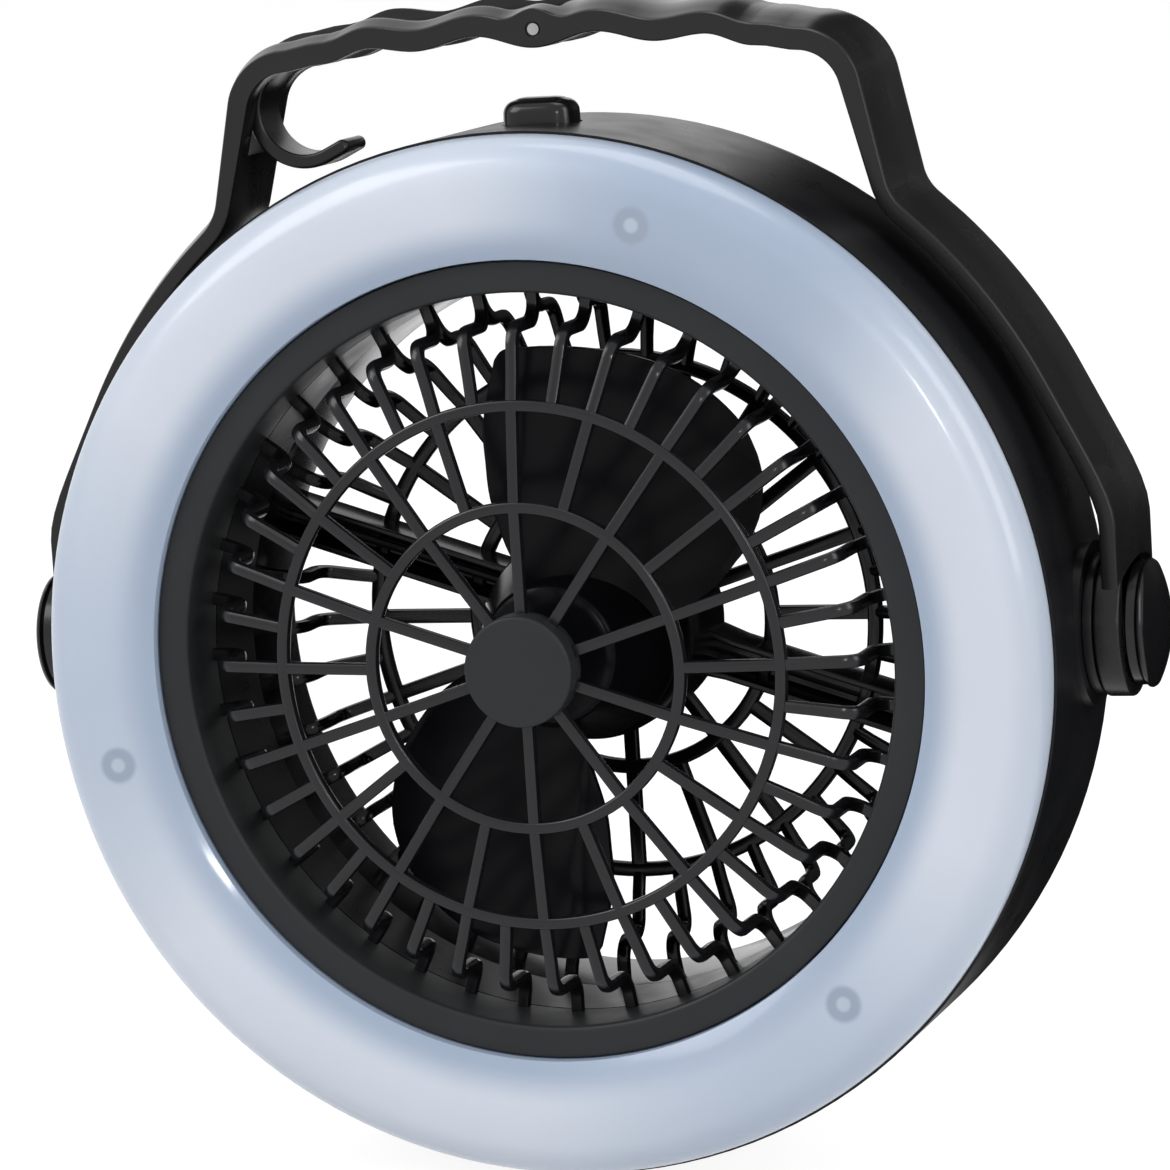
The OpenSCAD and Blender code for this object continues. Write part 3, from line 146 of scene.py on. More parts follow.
class FinishWiring(Wiring):
    """Node tree of a finish, with its shader and its patterns."""

    def __init__(self, name: str) -> None:
        """Starts a node material.

        Args:
            name: material name.
        """
        self.material = bpy.data.materials.new(name)
        super().__init__(self.material)
        self.shader = self.nodes["Principled BSDF"].inputs

    @cached_property
    def place(self) -> Socket:
        """Object coordinates of the surface."""
        return self.nodes.new("ShaderNodeTexCoord").outputs["Object"]

    def set(self, **levels: float | tuple[float, ...] | Socket) -> None:
        """Sets the shader's inputs.

        Args:
            levels: value of each input, by its name with underscores for spaces.
        """
        for name, level in levels.items():
            self.feed(self.shader[name.replace("_", " ")], level)

    def noise(self, size: float, detail: float) -> Socket:
        """Adds a noise pattern.

        Args:
            size: size of its patches in millimetres.
            detail: levels of detail.

        Returns:
            The pattern, 0 to 1.
        """
        node = self.nodes.new("ShaderNodeTexNoise")
        node.inputs["Scale"].default_value = 1000.0 / size
        node.inputs["Detail"].default_value = detail
        self.links.new(self.place, node.inputs["Vector"])
        return node.outputs["Fac"]

    def spread(self, value: Socket, low: float, high: float, start: float = 0.3,
               stop: float = 0.7, smooth: bool = False) -> Socket:
        """Spreads a pattern over a range.

        Args:
            value: pattern.
            low: result where the pattern is at its start.
            high: result where it is at its stop.
            start: pattern value that gives low.
            stop: pattern value that gives high.
            smooth: whether the ends are eased.

        Returns:
            The spread value.
        """
        node = self.nodes.new("ShaderNodeMapRange")
        node.interpolation_type = "SMOOTHSTEP" if smooth else "LINEAR"
        for name, level in (("From Min", start), ("From Max", stop), ("To Min", low),
                            ("To Max", high)):
            node.inputs[name].default_value = level
        self.links.new(value, node.inputs["Value"])
        return node.outputs["Result"]

    def vary(self, pattern: Socket, colour: Triple, low: float, high: float) -> Socket:
        """Varies a colour's brightness with a pattern.

        Args:
            pattern: pattern, 0 to 1.
            colour: middle colour.
            low: factor at the pattern's low end.
            high: factor at its high end.

        Returns:
            The varied colour.
        """
        return self.blend(self.spread(pattern, 0.0, 1.0), tuple(c * low for c in colour),
                          tuple(c * high for c in colour))

    def within(self, distance: Socket, edge: float, soft: float) -> Socket:
        """One inside an edge and nought outside, with a soft border.

        Args:
            distance: distance in metres.
            edge: distance of the border in millimetres.
            soft: half width of the border in millimetres.

        Returns:
            The mask.
        """
        return self.spread(distance, 1.0, 0.0, (edge - soft) * MM, (edge + soft) * MM, True)

    def away(self, centre: Triple) -> Socket:
        """Distance from a point, seen from the front.

        Args:
            centre: the point in metres.

        Returns:
            The distance in metres.
        """
        flat = self.nodes.new("ShaderNodeVectorMath")
        flat.operation = "MULTIPLY"
        flat.inputs[1].default_value = (1.0, 0.0, 1.0)
        self.links.new(self.place, flat.inputs[0])
        far = self.nodes.new("ShaderNodeVectorMath")
        far.operation = "DISTANCE"
        far.inputs[1].default_value = centre
        self.links.new(flat.outputs["Vector"], far.inputs[0])
        return far.outputs["Value"]

    def roughen(self, size: float, strength: float, depth: float) -> None:
        """Gives the surface a fine grain.

        Args:
            size: size of the grain in millimetres.
            strength: strength of the bump, 0 to 1.
            depth: depth of the grain in metres.
        """
        bump = self.nodes.new("ShaderNodeBump")
        bump.inputs["Strength"].default_value = strength
        bump.inputs["Distance"].default_value = depth
        self.links.new(self.noise(size, 2.0), bump.inputs["Height"])
        self.set(Normal=bump.outputs["Normal"])


# ---------------------------------------------------------------- finishes
@dataclass(frozen=True)
class MouldedPlastic:
    """Moulded or textured plastic with a fine grain, faint flow clouds and worn-in gloss.

    Args:
        name: material name.
        colour: base colour in linear RGB.
        roughness: mean roughness.
        grain_mm: size of the moulded grain.
        grain: depth of the grain's bump, 0 to 1.
        clouds: how strongly the colour varies, 0 to 1.
        specular: specular level.
        cloud_mm: size of the flow clouds.
        smear_mm: size of the patches that differ in gloss.
        smear: how strongly the gloss varies, 0 to 1.
        depth: depth of the grain in metres.
    """

    name: str
    colour: Triple
    roughness: float = 0.4
    grain_mm: float = 0.35
    grain: float = 0.08
    clouds: float = 0.12
    specular: float = 0.5
    cloud_mm: float = 26.0
    smear_mm: float = 9.0
    smear: float = 0.12
    depth: float = 0.00006

    def build(self) -> bpy.types.Material:
        """Makes the node material.

        Returns:
            The new material.
        """
        tree = FinishWiring(self.name)
        cloud, smear = tree.noise(self.cloud_mm, 3.0), tree.noise(self.smear_mm, 4.0)
        tree.set(Base_Color=tree.vary(cloud, self.colour, 1.0 - self.clouds, 1.0 + self.clouds),
                 Roughness=tree.spread(smear, self.roughness * (1.0 - self.smear),
                                       self.roughness * (1.0 + self.smear)),
                 Specular_IOR_Level=self.specular)
        tree.roughen(self.grain_mm, self.grain, self.depth)
        return tree.material


@dataclass(frozen=True)
class Metal:
    """Bare or plated metal with drawn streaks.

    Args:
        name: material name.
        colour: base colour in linear RGB.
        roughness: mean roughness.
        streak: depth of the streaks' bump, 0 to 1.
        cloud_mm: size of the dull and bright patches.
        streak_mm: width of the streaks.
        depth: depth of the streaks in metres.
        tones: factors of the colour in the patches, from dark to light.
        sheens: factors of the roughness there.
    """

    name: str
    colour: Triple
    roughness: float = 0.3
    streak: float = 0.1
    cloud_mm: float = 5.0
    streak_mm: float = 0.4
    depth: float = 0.00004
    tones: Point = (0.86, 1.1)
    sheens: Point = (0.8, 1.25)

    def build(self) -> bpy.types.Material:
        """Makes the node material.

        Returns:
            The new material.
        """
        tree = FinishWiring(self.name)
        cloud = tree.noise(self.cloud_mm, 3.0)
        tree.set(Metallic=1.0, Base_Color=tree.vary(cloud, self.colour, *self.tones),
                 Roughness=tree.spread(cloud, *(self.roughness * s for s in self.sheens)))
        tree.roughen(self.streak_mm, self.streak, self.depth)
        return tree.material


@dataclass(frozen=True)
class FrostedRing:
    """Frosted plastic of the light ring, with the screw bosses showing through as spots.

    Args:
        name: material name.
        colour: colour on the pale crest between two bosses.
        edge: colour at the rims and near the bosses; along the inner rim it is painted shade.
        shade: colour of a boss.
        core: colour at a boss's bore.
        spots: angles of the bosses in degrees.
        spot_r: radius at which the bosses lie, in millimetres.
        spot_size: radius of a boss, in millimetres.
        bore_size: radius of its bore, in millimetres.
        bright_turn: angle at which the ring is palest, in degrees.
        dull_turn: angle of its dullest stretch, in degrees.
        dull_edge: reach of the dull stretch and half width of its border, in millimetres.
        inner_rim_shade: radius where the painted shade of the inner rim gives way to the pale
            crest, and half width of its border.
        outer_edge: radius where the pale crest fades and half width of its border.
    """

    name: str
    colour: Triple = (0.72, 0.775, 0.865)
    edge: Triple = (0.40, 0.49, 0.63)
    shade: Triple = (0.35, 0.42, 0.53)
    core: Triple = (0.52, 0.59, 0.69)
    spots: tuple[float, ...] = (72.4, 192.4, 312.4)
    spot_r: float = 84.7
    spot_size: float = 3.35
    bore_size: float = 1.35
    bright_turn: float = 122.0
    dull_turn: float = 62.0
    dull_edge: Point = (30.0, 16.0)
    inner_rim_shade: Point = (79.6, 3.6)
    outer_edge: Point = (94.5, 4.5)

    def build(self) -> bpy.types.Material:
        """Makes the node material.

        Returns:
            The new material.
        """
        tree = FinishWiring(self.name)
        cloud = tree.noise(40.0, 2.0)
        base = tree.blend(self._paleness_and_rim_shade(tree), tree.vary(cloud, self.edge, 0.97, 1.03),
                          tree.vary(cloud, self.colour, 0.97, 1.02))
        bosses = [tree.away(self._on_ring(angle)) for angle in self.spots]
        for size, soft, colour in ((self.spot_size, 0.6, self.shade),
                                   (self.bore_size, 0.4, self.core)):
            spots = [tree.within(away, size, soft) for away in bosses]
            mask = spots[0]
            for spot in spots[1:]:
                mask = tree.calc("MAXIMUM", mask, spot)
            base = tree.blend(mask, base, colour)
        tree.set(Base_Color=base, Roughness=tree.spread(tree.noise(12.0, 4.0), 0.30, 0.38),
                 Specular_IOR_Level=0.5, Coat_Weight=0.45, Coat_Roughness=0.10,
                 Subsurface_Weight=0.25, Subsurface_Radius=(0.8, 0.9, 1.0),
                 Subsurface_Scale=0.003)
        tree.roughen(0.5, 0.05, 0.00005)
        return tree.material

    def _on_ring(self, angle: float) -> Triple:
        """A place on the circle of the bosses.

        Args:
            angle: direction in degrees.

        Returns:
            The point in metres.
        """
        a = math.radians(angle)
        return (self.spot_r * math.cos(a) * MM, 0.0, (AXIS_Z + self.spot_r * math.sin(a)) * MM)

    def _paleness_and_rim_shade(self, tree: FinishWiring) -> Socket:
        """How pale the plastic looks: pale on its crest, dull at its outer rim and near the
        bosses, and darker at its inner rim, where the darkening is painted shade beside the
        bezel.

        Args:
            tree: node tree of the finish.

        Returns:
            The mask, 0 to 1.
        """
        axis = (0.0, 0.0, AXIS_Z * MM)
        away = tree.away(axis)
        local = tree.nodes.new("ShaderNodeVectorMath")
        local.operation = "SUBTRACT"
        local.inputs[1].default_value = axis
        tree.links.new(tree.place, local.inputs[0])
        parts = tree.nodes.new("ShaderNodeSeparateXYZ")
        tree.links.new(local.outputs["Vector"], parts.inputs[0])
        turn = tree.calc("ARCTAN2", parts.outputs["Z"], parts.outputs["X"])
        count = len(self.spots)
        wave = tree.calc("COSINE", tree.calc("MULTIPLY_ADD", turn, float(count),
                                             -count * math.radians(self.bright_turn)))
        lobe = tree.calc("MULTIPLY_ADD", wave, 0.5, 0.88, clamp=True)
        dull = tree.within(tree.away(self._on_ring(self.dull_turn)), *self.dull_edge)
        lobe = tree.calc("MULTIPLY", lobe, tree.calc("MULTIPLY_ADD", dull, -0.85, 1.0))
        # painted shade: the ring darkens along its inner rim, beside the bezel
        inner = tree.calc("SUBTRACT", 1.0, tree.within(away, *self.inner_rim_shade))
        outer = tree.calc("MULTIPLY_ADD", tree.within(away, *self.outer_edge), 0.5, 0.5)
        return tree.calc("MULTIPLY", lobe, tree.calc("MULTIPLY", inner, outer))


class Palette:
    """Every finish of the fan, made once and handed out by name."""

    def __init__(self) -> None:
        """Makes all the materials."""
        plastic = MouldedPlastic
        self.frosted = FrostedRing("frosted_diffuser").build()
        self.guard = plastic("guard_matt_black", (0.024, 0.0255, 0.0275), 0.42, 0.45, 0.12,
                             clouds=0.10, specular=0.20).build()
        self.bars = plastic("guard_bars_black", (0.0085, 0.0088, 0.0105), 0.22, 0.45, 0.06,
                            clouds=0.10, specular=0.35).build()
        self.housing = plastic("housing_satin_black", (0.0090, 0.0093, 0.0105), 0.30, 0.40,
                               clouds=0.12, specular=0.20).build()
        self.gloss = plastic("duct_gloss_black", (0.0048, 0.0049, 0.0058), 0.18, 1.2, 0.05,
                             clouds=0.10, specular=0.30).build()
        self.rotor = plastic("rotor_gloss_black", (0.0042, 0.0043, 0.0056), 0.24, 0.9, 0.05,
                             clouds=0.10, specular=0.09).build()
        self.handle = plastic("handle_satin_black", (0.0115, 0.0112, 0.0120), 0.26, 0.40,
                              clouds=0.12, specular=0.30).build()
        self.button = plastic("button_gloss_black", (0.0075, 0.0076, 0.0084), 0.18, 0.8, 0.05,
                              clouds=0.08, specular=0.35).build()
        self.tray_black = plastic("tray_black", (0.006, 0.006, 0.007), 0.55,
                                  specular=0.2).build()
        self.tray_white = plastic("tray_white", (0.72, 0.73, 0.74), 0.45).build()
        self.board_green = plastic("board_green", (0.02, 0.14, 0.05), 0.3, 1.0, 0.2,
                                   clouds=0.3).build()
        self.board_white = plastic("board_white", (0.78, 0.78, 0.76), 0.3, 1.0, 0.1).build()
        self.led = plastic("led_gel", (0.86, 0.66, 0.16), 0.2, 0.6, 0.1).build()
        self.cell = plastic("cell_wrap", (0.06, 0.08, 0.11), 0.3, 2.0, 0.05,
                            clouds=0.1).build()
        self.lead_black = plastic("lead_black", (0.006, 0.006, 0.007), 0.45,
                                  specular=0.2).build()
        self.lead_blue = plastic("lead_blue", (0.02, 0.05, 0.26), 0.45).build()
        self.rubber = plastic("foot_rubber", (0.015, 0.015, 0.015), 0.75, 0.3, 0.3).build()
        self.zinc = Metal("screw_zinc", (0.60, 0.61, 0.63), 0.32).build()
        self.steel = Metal("shaft_steel", (0.40, 0.40, 0.41), 0.26).build()
        self.nickel = Metal("contact_nickel", (0.74, 0.72, 0.66), 0.25).build()
        self.brass = Metal("bush_brass", (0.66, 0.45, 0.18), 0.35).build()
        self.copper = Metal("winding_copper", (0.60, 0.24, 0.11), 0.38, 0.4).build()
        self.magnet = Metal("magnet_grey", (0.10, 0.10, 0.105), 0.55, 0.3).build()

    def dress_nodes(self) -> None:
        """Gives each solid of the frame that still shows its finish."""
        wear = {
            "led_board": self.board_white, "leds": self.led, "light_tray": self.tray_white,
            "ring_screws": self.zinc, "grille_screws": self.zinc, "rear_housing": self.housing,
            "housing_screws": self.zinc, "rear_grille_screws": self.zinc,
            "motor_shaft": self.steel, "motor_armature": self.copper, "motor_can": self.zinc,
            "motor_magnets": self.magnet, "motor_bushes": self.brass,
            "motor_end_cap": self.tray_black, "motor_cover": self.gloss,
            "motor_screws": self.zinc, "motor_lead": self.lead_black,
            "switch_plunger": self.tray_white, "power_switch": self.tray_black,
            "switch_board": self.board_green, "board_screws": self.zinc,
            "led_lead": self.lead_blue, "battery_tray": self.tray_black,
            "battery_contacts": self.nickel, "battery_cells": self.cell,
            "battery_door": self.housing, "door_screw": self.zinc,
            "friction_washers": self.tray_black, "pivot_inserts": self.brass,
            "pivot_screws": self.zinc, "knob_caps": self.button, "handle": self.handle,
            "hanger_hook": self.handle, "hook_pin": self.steel, "feet": self.rubber,
            "diffuser_ring": self.frosted, "front_grille": self.guard,
            "rear_grille": self.gloss, "rotor": self.rotor, "power_button": self.button,
        }
        for name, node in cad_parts.items():
            if name not in wear:
                raise KeyError(f"no finish for {name}")
            for slot in node.material_slots:
                slot.material = wear[name]


# ---------------------------------------------------------------- shapes
def on_drum(r: float, f: float, angle: float) -> Vector:
    """A point given on the drum's axis.

    Args:
        r: radius in millimetres.
        f: distance in front of the seam in millimetres.
        angle: direction in degrees.

    Returns:
        The point in metres.
    """
    a = math.radians(angle)
    return Vector((r * math.cos(a), SEAM_Y - f, AXIS_Z + r * math.sin(a))) * MM


def on_band(x: float, back: float, z: float) -> Vector:
    """A point given on the middle of the handle's band.

    Args:
        x: distance to the right of the drum's axis in millimetres.
        back: distance behind the band's middle in millimetres.
        z: height above the drum's axis in millimetres.

    Returns:
        The point in metres.
    """
    return Vector((x, SEAM_Y + PIVOT_Y + back, AXIS_Z + z)) * MM


def compass(angle: float) -> tuple[Vector, Vector]:
    """Directions round the drum.

    Args:
        angle: direction in degrees.

    Returns:
        The outward direction and the one across it.
    """
    a = math.radians(angle)
    return Vector((math.cos(a), 0, math.sin(a))), Vector((-math.sin(a), 0, math.cos(a)))


def oblong(x0: float, y0: float, x1: float, y1: float) -> list[Point]:
    """The four corners of a rectangle, from its lower left one to the right and round."""
    return [(x0, y0), (x1, y0), (x1, y1), (x0, y1)]


def rounded(points: list[Point], radius: float | list[float], steps: int = 4,
            closed: bool = True) -> list[Point]:
    """Rounds the corners of an outline.

    Args:
        points: corners in millimetres.
        radius: one radius, or one per corner.
        steps: segments per corner.
        closed: whether the last point joins the first.

    Returns:
        The rounded outline.
    """
    tiny, straight, reach = 1e-9, math.radians(88), 0.49
    count = len(points)
    radii = radius if isinstance(radius, list) else [radius] * count
    out: list[Point] = []
    for i, (p, rad) in enumerate(zip(points, radii)):
        if rad <= 0 or (not closed and i in (0, count - 1)):
            out.append(p)
            continue
        corner = Vector(p)
        back = Vector(points[i - 1]) - corner
        ahead = Vector(points[(i + 1) % count]) - corner
        if back.length < tiny or ahead.length < tiny:
            continue
        half = back.angle(ahead, math.pi) / 2
        if half > straight:
            out.append(p)
            continue
        cut = min(rad / math.tan(half), back.length * reach, ahead.length * reach)
        start, end = corner + back.normalized() * cut, corner + ahead.normalized() * cut
        for k in range(steps + 1):
            t = k / steps
            bent = start * (1 - t) ** 2 + corner * 2 * t * (1 - t) + end * t ** 2
            out.append((bent.x, bent.y))
    return out


def arc(cx: float, cy: float, r: float, a0: float, a1: float, steps: int) -> list[Point]:
    """Points of an arc.

    Args:
        cx: centre.
        cy: centre.
        r: radius.
        a0: first angle in degrees.
        a1: last angle in degrees.
        steps: number of segments.

    Returns:
        steps + 1 points.
    """
    return [(cx + r * math.cos(math.radians(a0 + (a1 - a0) * i / steps)),
             cy + r * math.sin(math.radians(a0 + (a1 - a0) * i / steps)))
            for i in range(steps + 1)]


def circle(r: float, steps: int) -> list[Point]:
    """Points of a whole circle round the origin, the first one not repeated."""
    return arc(0, 0, r, 0, 360 - 360 / steps, steps - 1)


def ease(t: float) -> float:
    """Half a cosine wave from 0 to 1."""
    return (1 - math.cos(math.pi * t)) / 2


def spline(points: list[Point], steps: int) -> list[Point]:
    """A smooth curve through points.

    Args:
        points: points to pass.
        steps: segments between two points.

    Returns:
        The curve's points.
    """
    out: list[Point] = []
    last = len(points) - 1
    for i in range(last):
        p0, p1 = Vector(points[max(i - 1, 0)]), Vector(points[i])
        p2, p3 = Vector(points[i + 1]), Vector(points[min(i + 2, last)])
        for k in range(steps):
            t = k / steps
            q = 0.5 * (2 * p1 + (p2 - p0) * t + (2 * p0 - 5 * p1 + 4 * p2 - p3) * t ** 2
                       + (3 * p1 - p0 - 3 * p2 + p3) * t ** 3)
            out.append((q.x, q.y))
    out.append(points[-1])
    return out


def outward(path: list[Point], index: int) -> Vector:
    """Direction square to a path, on its right side.

    Args:
        path: the path.
        index: which of its points.

    Returns:
        The direction.
    """
    ahead = Vector(path[min(index + 1, len(path) - 1)])
    d = (ahead - Vector(path[max(index - 1, 0)])).normalized()
    return Vector((d.y, -d.x))


def put(name: str, data: bpy.types.ID) -> bpy.types.Object:
    """Places a new object in the scene.

    Args:
        name: its name.
        data: its mesh, lamp or camera.

    Returns:
        The object.
    """
    thing = bpy.data.objects.new(name, data)
    bpy.context.scene.collection.objects.link(thing)
    return thing


@dataclass
class Shell:
    """Collects closed surfaces and turns them into one object.

    Args:
        name: name of the piece.
        finish: its material, or none for a cutting tool.
        body: the moving group that carries it.
    """

    name: str
    finish: bpy.types.Material | None = None
    body: Body = Body.FAN
    verts: list[Vector] = field(default_factory=list)
    faces: list[list[int]] = field(default_factory=list)

    def skin(self, loops: list[Loop], around: bool = False) -> None:
        """Joins loops of equal length into a closed surface.

        Args:
            loops: closed loops of points in metres.
            around: whether the last loop joins the first, else both ends are capped.
        """
        start, m, n = len(self.verts), len(loops[0]), len(loops)
        for loop in loops:
            self.verts.extend(loop)
        for i in range(n if around else n - 1):
            j = (i + 1) % n
            for k in range(m):
                k2 = (k + 1) % m
                self.faces.append([start + i * m + k, start + j * m + k,
                                   start + j * m + k2, start + i * m + k2])
        if not around:
            self.faces.append([start + k for k in range(m)])
            self.faces.append([start + (n - 1) * m + k for k in reversed(range(m))])

    def turn(self, outline: list[Point], steps: int) -> None:
        """Turns a closed outline of (r, f) points round the drum's axis.

        Args:
            outline: closed outline in millimetres.
            steps: number of segments.
        """
        self.skin([[on_drum(r, f, 360 * i / steps) for r, f in outline] for i in range(steps)],
                  around=True)

    def turn_on(self, outline: list[Point], origin: Vector, axis: Vector, steps: int) -> None:
        """Turns an outline of (r, height) points round any axis.

        Args:
            outline: outline from the axis back to the axis, or closed.
            origin: point on the axis in metres.
            axis: direction of the axis.
            steps: number of segments.
        """
        side = axis.orthogonal().normalized()
        up = axis.cross(side)
        loops = []
        for i in range(steps):
            a = 2 * math.pi * i / steps
            out = side * math.cos(a) + up * math.sin(a)
            loops.append([origin + (out * max(r, 0.0) + axis * h) * MM for r, h in outline])
        self.skin(loops, around=True)

    def bar(self, tops: list[Point], bottoms: list[Point], width: float, corner: float,
            angle: float) -> None:
        """A bar that stands on the radius.

        Args:
            tops: front line as (r, f) points.
            bottoms: back line, one point for each front point.
            width: width across the radius.
            corner: rounding of its edges.
            angle: direction in degrees.
        """
        out, across = compass(angle)
        loops = []
        for (tr, tf), (br, bf) in zip(tops, bottoms):
            mid, rise = Vector(((tr + br) / 2, (tf + bf) / 2)), Vector((tr - br, tf - bf))
            half = rise.length / 2
            up = rise.normalized()
            loop = []
            for u, v in rounded(oblong(-width / 2, -half, width / 2, half), corner, 2):
                r, f = mid + up * v
                loop.append((out * r + across * u + Vector((0, -f, 0))) * MM
                            + Vector((0, SEAM_Y, AXIS_Z)) * MM)
            loops.append(loop)
        self.skin(loops)

    def tool(self) -> bpy.types.Object:
        """Makes a bare object with its faces turned outwards.

        Returns:
            The new object, without a finish or a body.
        """
        mesh = bpy.data.meshes.new(self.name)
        mesh.from_pydata([tuple(v) for v in self.verts], [], self.faces)
        work = bmesh.new()
        work.from_mesh(mesh)
        if self.finish:
            bmesh.ops.remove_doubles(work, verts=work.verts, dist=1e-7)
            bmesh.ops.dissolve_degenerate(work, edges=work.edges, dist=1e-8)
        bmesh.ops.recalc_face_normals(work, faces=work.faces)
        work.to_mesh(mesh)
        work.free()
        return put(self.name, mesh)

    def make(self, *nodes: str) -> bpy.types.Object:
        """Makes the finished piece.

        Args:
            nodes: solids of the frame that it stands for.

        Returns:
            The new object.
        """
        piece = self.tool()
        finish_piece(piece, self.finish, self.body, *nodes)
        return piece


def finish_piece(piece: bpy.types.Object, finish: bpy.types.Material, body: Body,
                 *nodes: str) -> None:
    """Shades, dresses and mounts a piece.

    Args:
        piece: the object.
        finish: its material.
        body: the moving group that carries it.
        nodes: solids of the frame that it stands for.
    """
    piece.data.materials.clear()
    piece.data.materials.append(finish)
    piece.data.shade_smooth()
    piece.data.set_sharp_from_angle(angle=CREASE)
    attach(piece, body.value)
    if nodes:
        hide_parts(*nodes)
    LOG.info("%s: %d faces on %s", piece.name, len(piece.data.polygons), body.value)


def baked(piece: bpy.types.Object) -> None:
    """Applies a piece's modifiers to its mesh.

    Args:
        piece: the object.
    """
    graph = bpy.context.evaluated_depsgraph_get()
    mesh = bpy.data.meshes.new_from_object(piece.evaluated_get(graph))
    piece.modifiers.clear()
    piece.data = mesh


def soften(piece: bpy.types.Object, width: float, segments: int, angle: float) -> None:
    """Rounds a piece's sharp edges.

    Args:
        piece: the object.
        width: width of the rounding in metres.
        segments: its segments.
        angle: smallest turn of an edge that is rounded, in degrees.
    """
    edge = piece.modifiers.new("edge", "BEVEL")
    edge.width = width
    edge.segments = segments
    edge.limit_method = "ANGLE"
    edge.angle_limit = math.radians(angle)
    baked(piece)


# ---------------------------------------------------------------- light ring
@dataclass
class LightRing:
    """Frosted ring round the fan's mouth."""

    outer_r: float = 97.5
    inner_r: float = 74.9
    crown_r: float = 87.0
    crown_f: float = 8.6
    crown_foot_r: float = 74.6
    crown_rise: float = 3.4
    shoulder: float = 8.2
    wall: float = 1.8
    lip: float = 0.5
    seam_gap: float = 0.12
    back: float = -4.8
    foot: float = 2.6
    inside: tuple[Point, ...] = ((85, 6.2), (92, 5.0), (95.0, 1.0), (93.8, 1.0), (93.8, -4.8),
                                 (95.4, -4.8), (95.4, 0.0), (97.2, 0.0))
    crown_steps: int = 28

    def outline(self) -> list[Point]:
        """Outline of the ring's section.

        Returns:
            Closed outline of (r, f) points.
        """
        big = ((self.crown_r - self.crown_foot_r) ** 2 + self.crown_rise ** 2) \
            / (2 * self.crown_rise)
        centre_f = self.crown_f - big
        sc = self.outer_r - self.shoulder
        sf = centre_f + math.sqrt((big - self.shoulder) ** 2 - (sc - self.crown_r) ** 2)
        sa = math.degrees(math.atan2(sf - centre_f, sc - self.crown_r))
        points = [(self.outer_r, self.seam_gap)]
        points += arc(sc, sf, self.shoulder, 0, sa, 20)
        start = sc + self.shoulder * math.cos(math.radians(sa))
        for i in range(1, self.crown_steps + 1):
            r = start + (self.inner_r + self.lip - start) * i / self.crown_steps
            points.append((r, centre_f + math.sqrt(big ** 2 - (r - self.crown_r) ** 2)))
        edge = points[-1][1]
        points += [(self.inner_r + 0.12, edge - 0.2), (self.inner_r, edge - 0.7),
                   (self.inner_r, self.back), (self.inner_r + self.wall, self.back),
                   (self.inner_r + self.wall, self.foot), *self.inside]
        return points

    def build(self, palette: Palette) -> None:
        """Makes the ring.

        Args:
            palette: the fan's finishes.
        """
        ring = Shell("light_ring", palette.frosted)
        ring.turn(self.outline(), 192)
        ring.make("diffuser_ring")


# ---------------------------------------------------------------- guards
@dataclass
class Guard:
    """Shared sizes of the front and rear guards."""

    duct_r: float = 68.7
    bar_w: float = 2.2
    bar_d: float = 2.2
    spokes: int = 10
    corner: float = 0.55
    run_r: float = 62.3
    run_turn: float = 82.0
    run_in: float = 4.0
    run_rise: float = 0.85
    bend_r: float = 3.6
    bend_steps: int = 9
    fall: float = 2.2
    swell: float = 0.12
    bent_share: float = 1.08
    inner_ring: float = 29.9
    outer_ring: float = 48.4

    def web(self, shell: Shell, hub_r: float, inner_f: float, outer_f: float) -> None:
        """Two rings, the spokes inside and the straight bars between them.

        Args:
            shell: shell to add to.
            hub_r: radius where the spokes start.
            inner_f: middle plane of the inner ring and the spokes.
            outer_f: middle plane of the outer ring.
        """
        self._ring(shell, self.inner_ring, inner_f, 96)
        self._ring(shell, self.outer_ring, outer_f, 144)
        step = 360 / self.spokes
        for i in range(self.spokes):
            self._straight(shell, (hub_r, inner_f), (self.inner_ring, inner_f), 90 + step * i)
        for i in range(2 * self.spokes):
            self._straight(shell, (self.inner_ring, inner_f), (self.outer_ring, outer_f),
                           step / 2 * i)

    def _ring(self, shell: Shell, r: float, plane: float, steps: int) -> None:
        """A rounded ring.

        Args:
            shell: shell to add to.
            r: middle radius.
            plane: middle plane.
            steps: number of segments.
        """
        w, d = self.bar_w / 2, self.bar_d / 2 + 0.1
        shell.turn(rounded(oblong(r - w, plane - d, r + w, plane + d), 0.6, 3), steps)

    def _straight(self, shell: Shell, start: Point, end: Point, angle: float) -> None:
        """A straight bar between two radii.

        Args:
            shell: shell to add to.
            start: radius and middle plane at its inner end.
            end: radius and middle plane at its outer end.
            angle: direction in degrees.
        """
        d = self.bar_d / 2
        shell.bar([(r, f + d) for r, f in (start, end)], [(r, f - d) for r, f in (start, end)],
                  self.bar_w, self.corner, angle)

    def bent(self, shell: Shell, plane: float, root: float, angle: float, sign: int) -> None:
        """A bar that runs out, bends back along the duct and bends out into its wall.

        Args:
            shell: shell to add to.
            plane: middle plane at the outer ring.
            root: plane where it meets the wall.
            angle: direction in degrees.
            sign: 1 when the planes lie in front of the seam, -1 when behind it.
        """
        top, bend, steps = plane - self.fall, self.bend_r, self.bend_steps
        thin, thick = self.bar_d / 2, self.bar_d / 2 + self.swell
        near, far = self.run_r - bend, self.run_r + bend
        sides = []
        for side in (1, -1):
            line = [(self.outer_ring, plane + side * thin),
                    (near - self.run_in, top + side * thin + self.run_rise)]
            line += arc(near, top - bend, bend + side * thick, self.run_turn, 0, steps)
            line += arc(far, root + bend, bend - side * thick, 180, 270, steps)
            line.append((self.duct_r + 0.5, root + side * thick))
            sides.append([(r, sign * f) for r, f in line])
        shell.bar(*sides, self.bar_w * self.bent_share, self.corner * 1.5, angle)


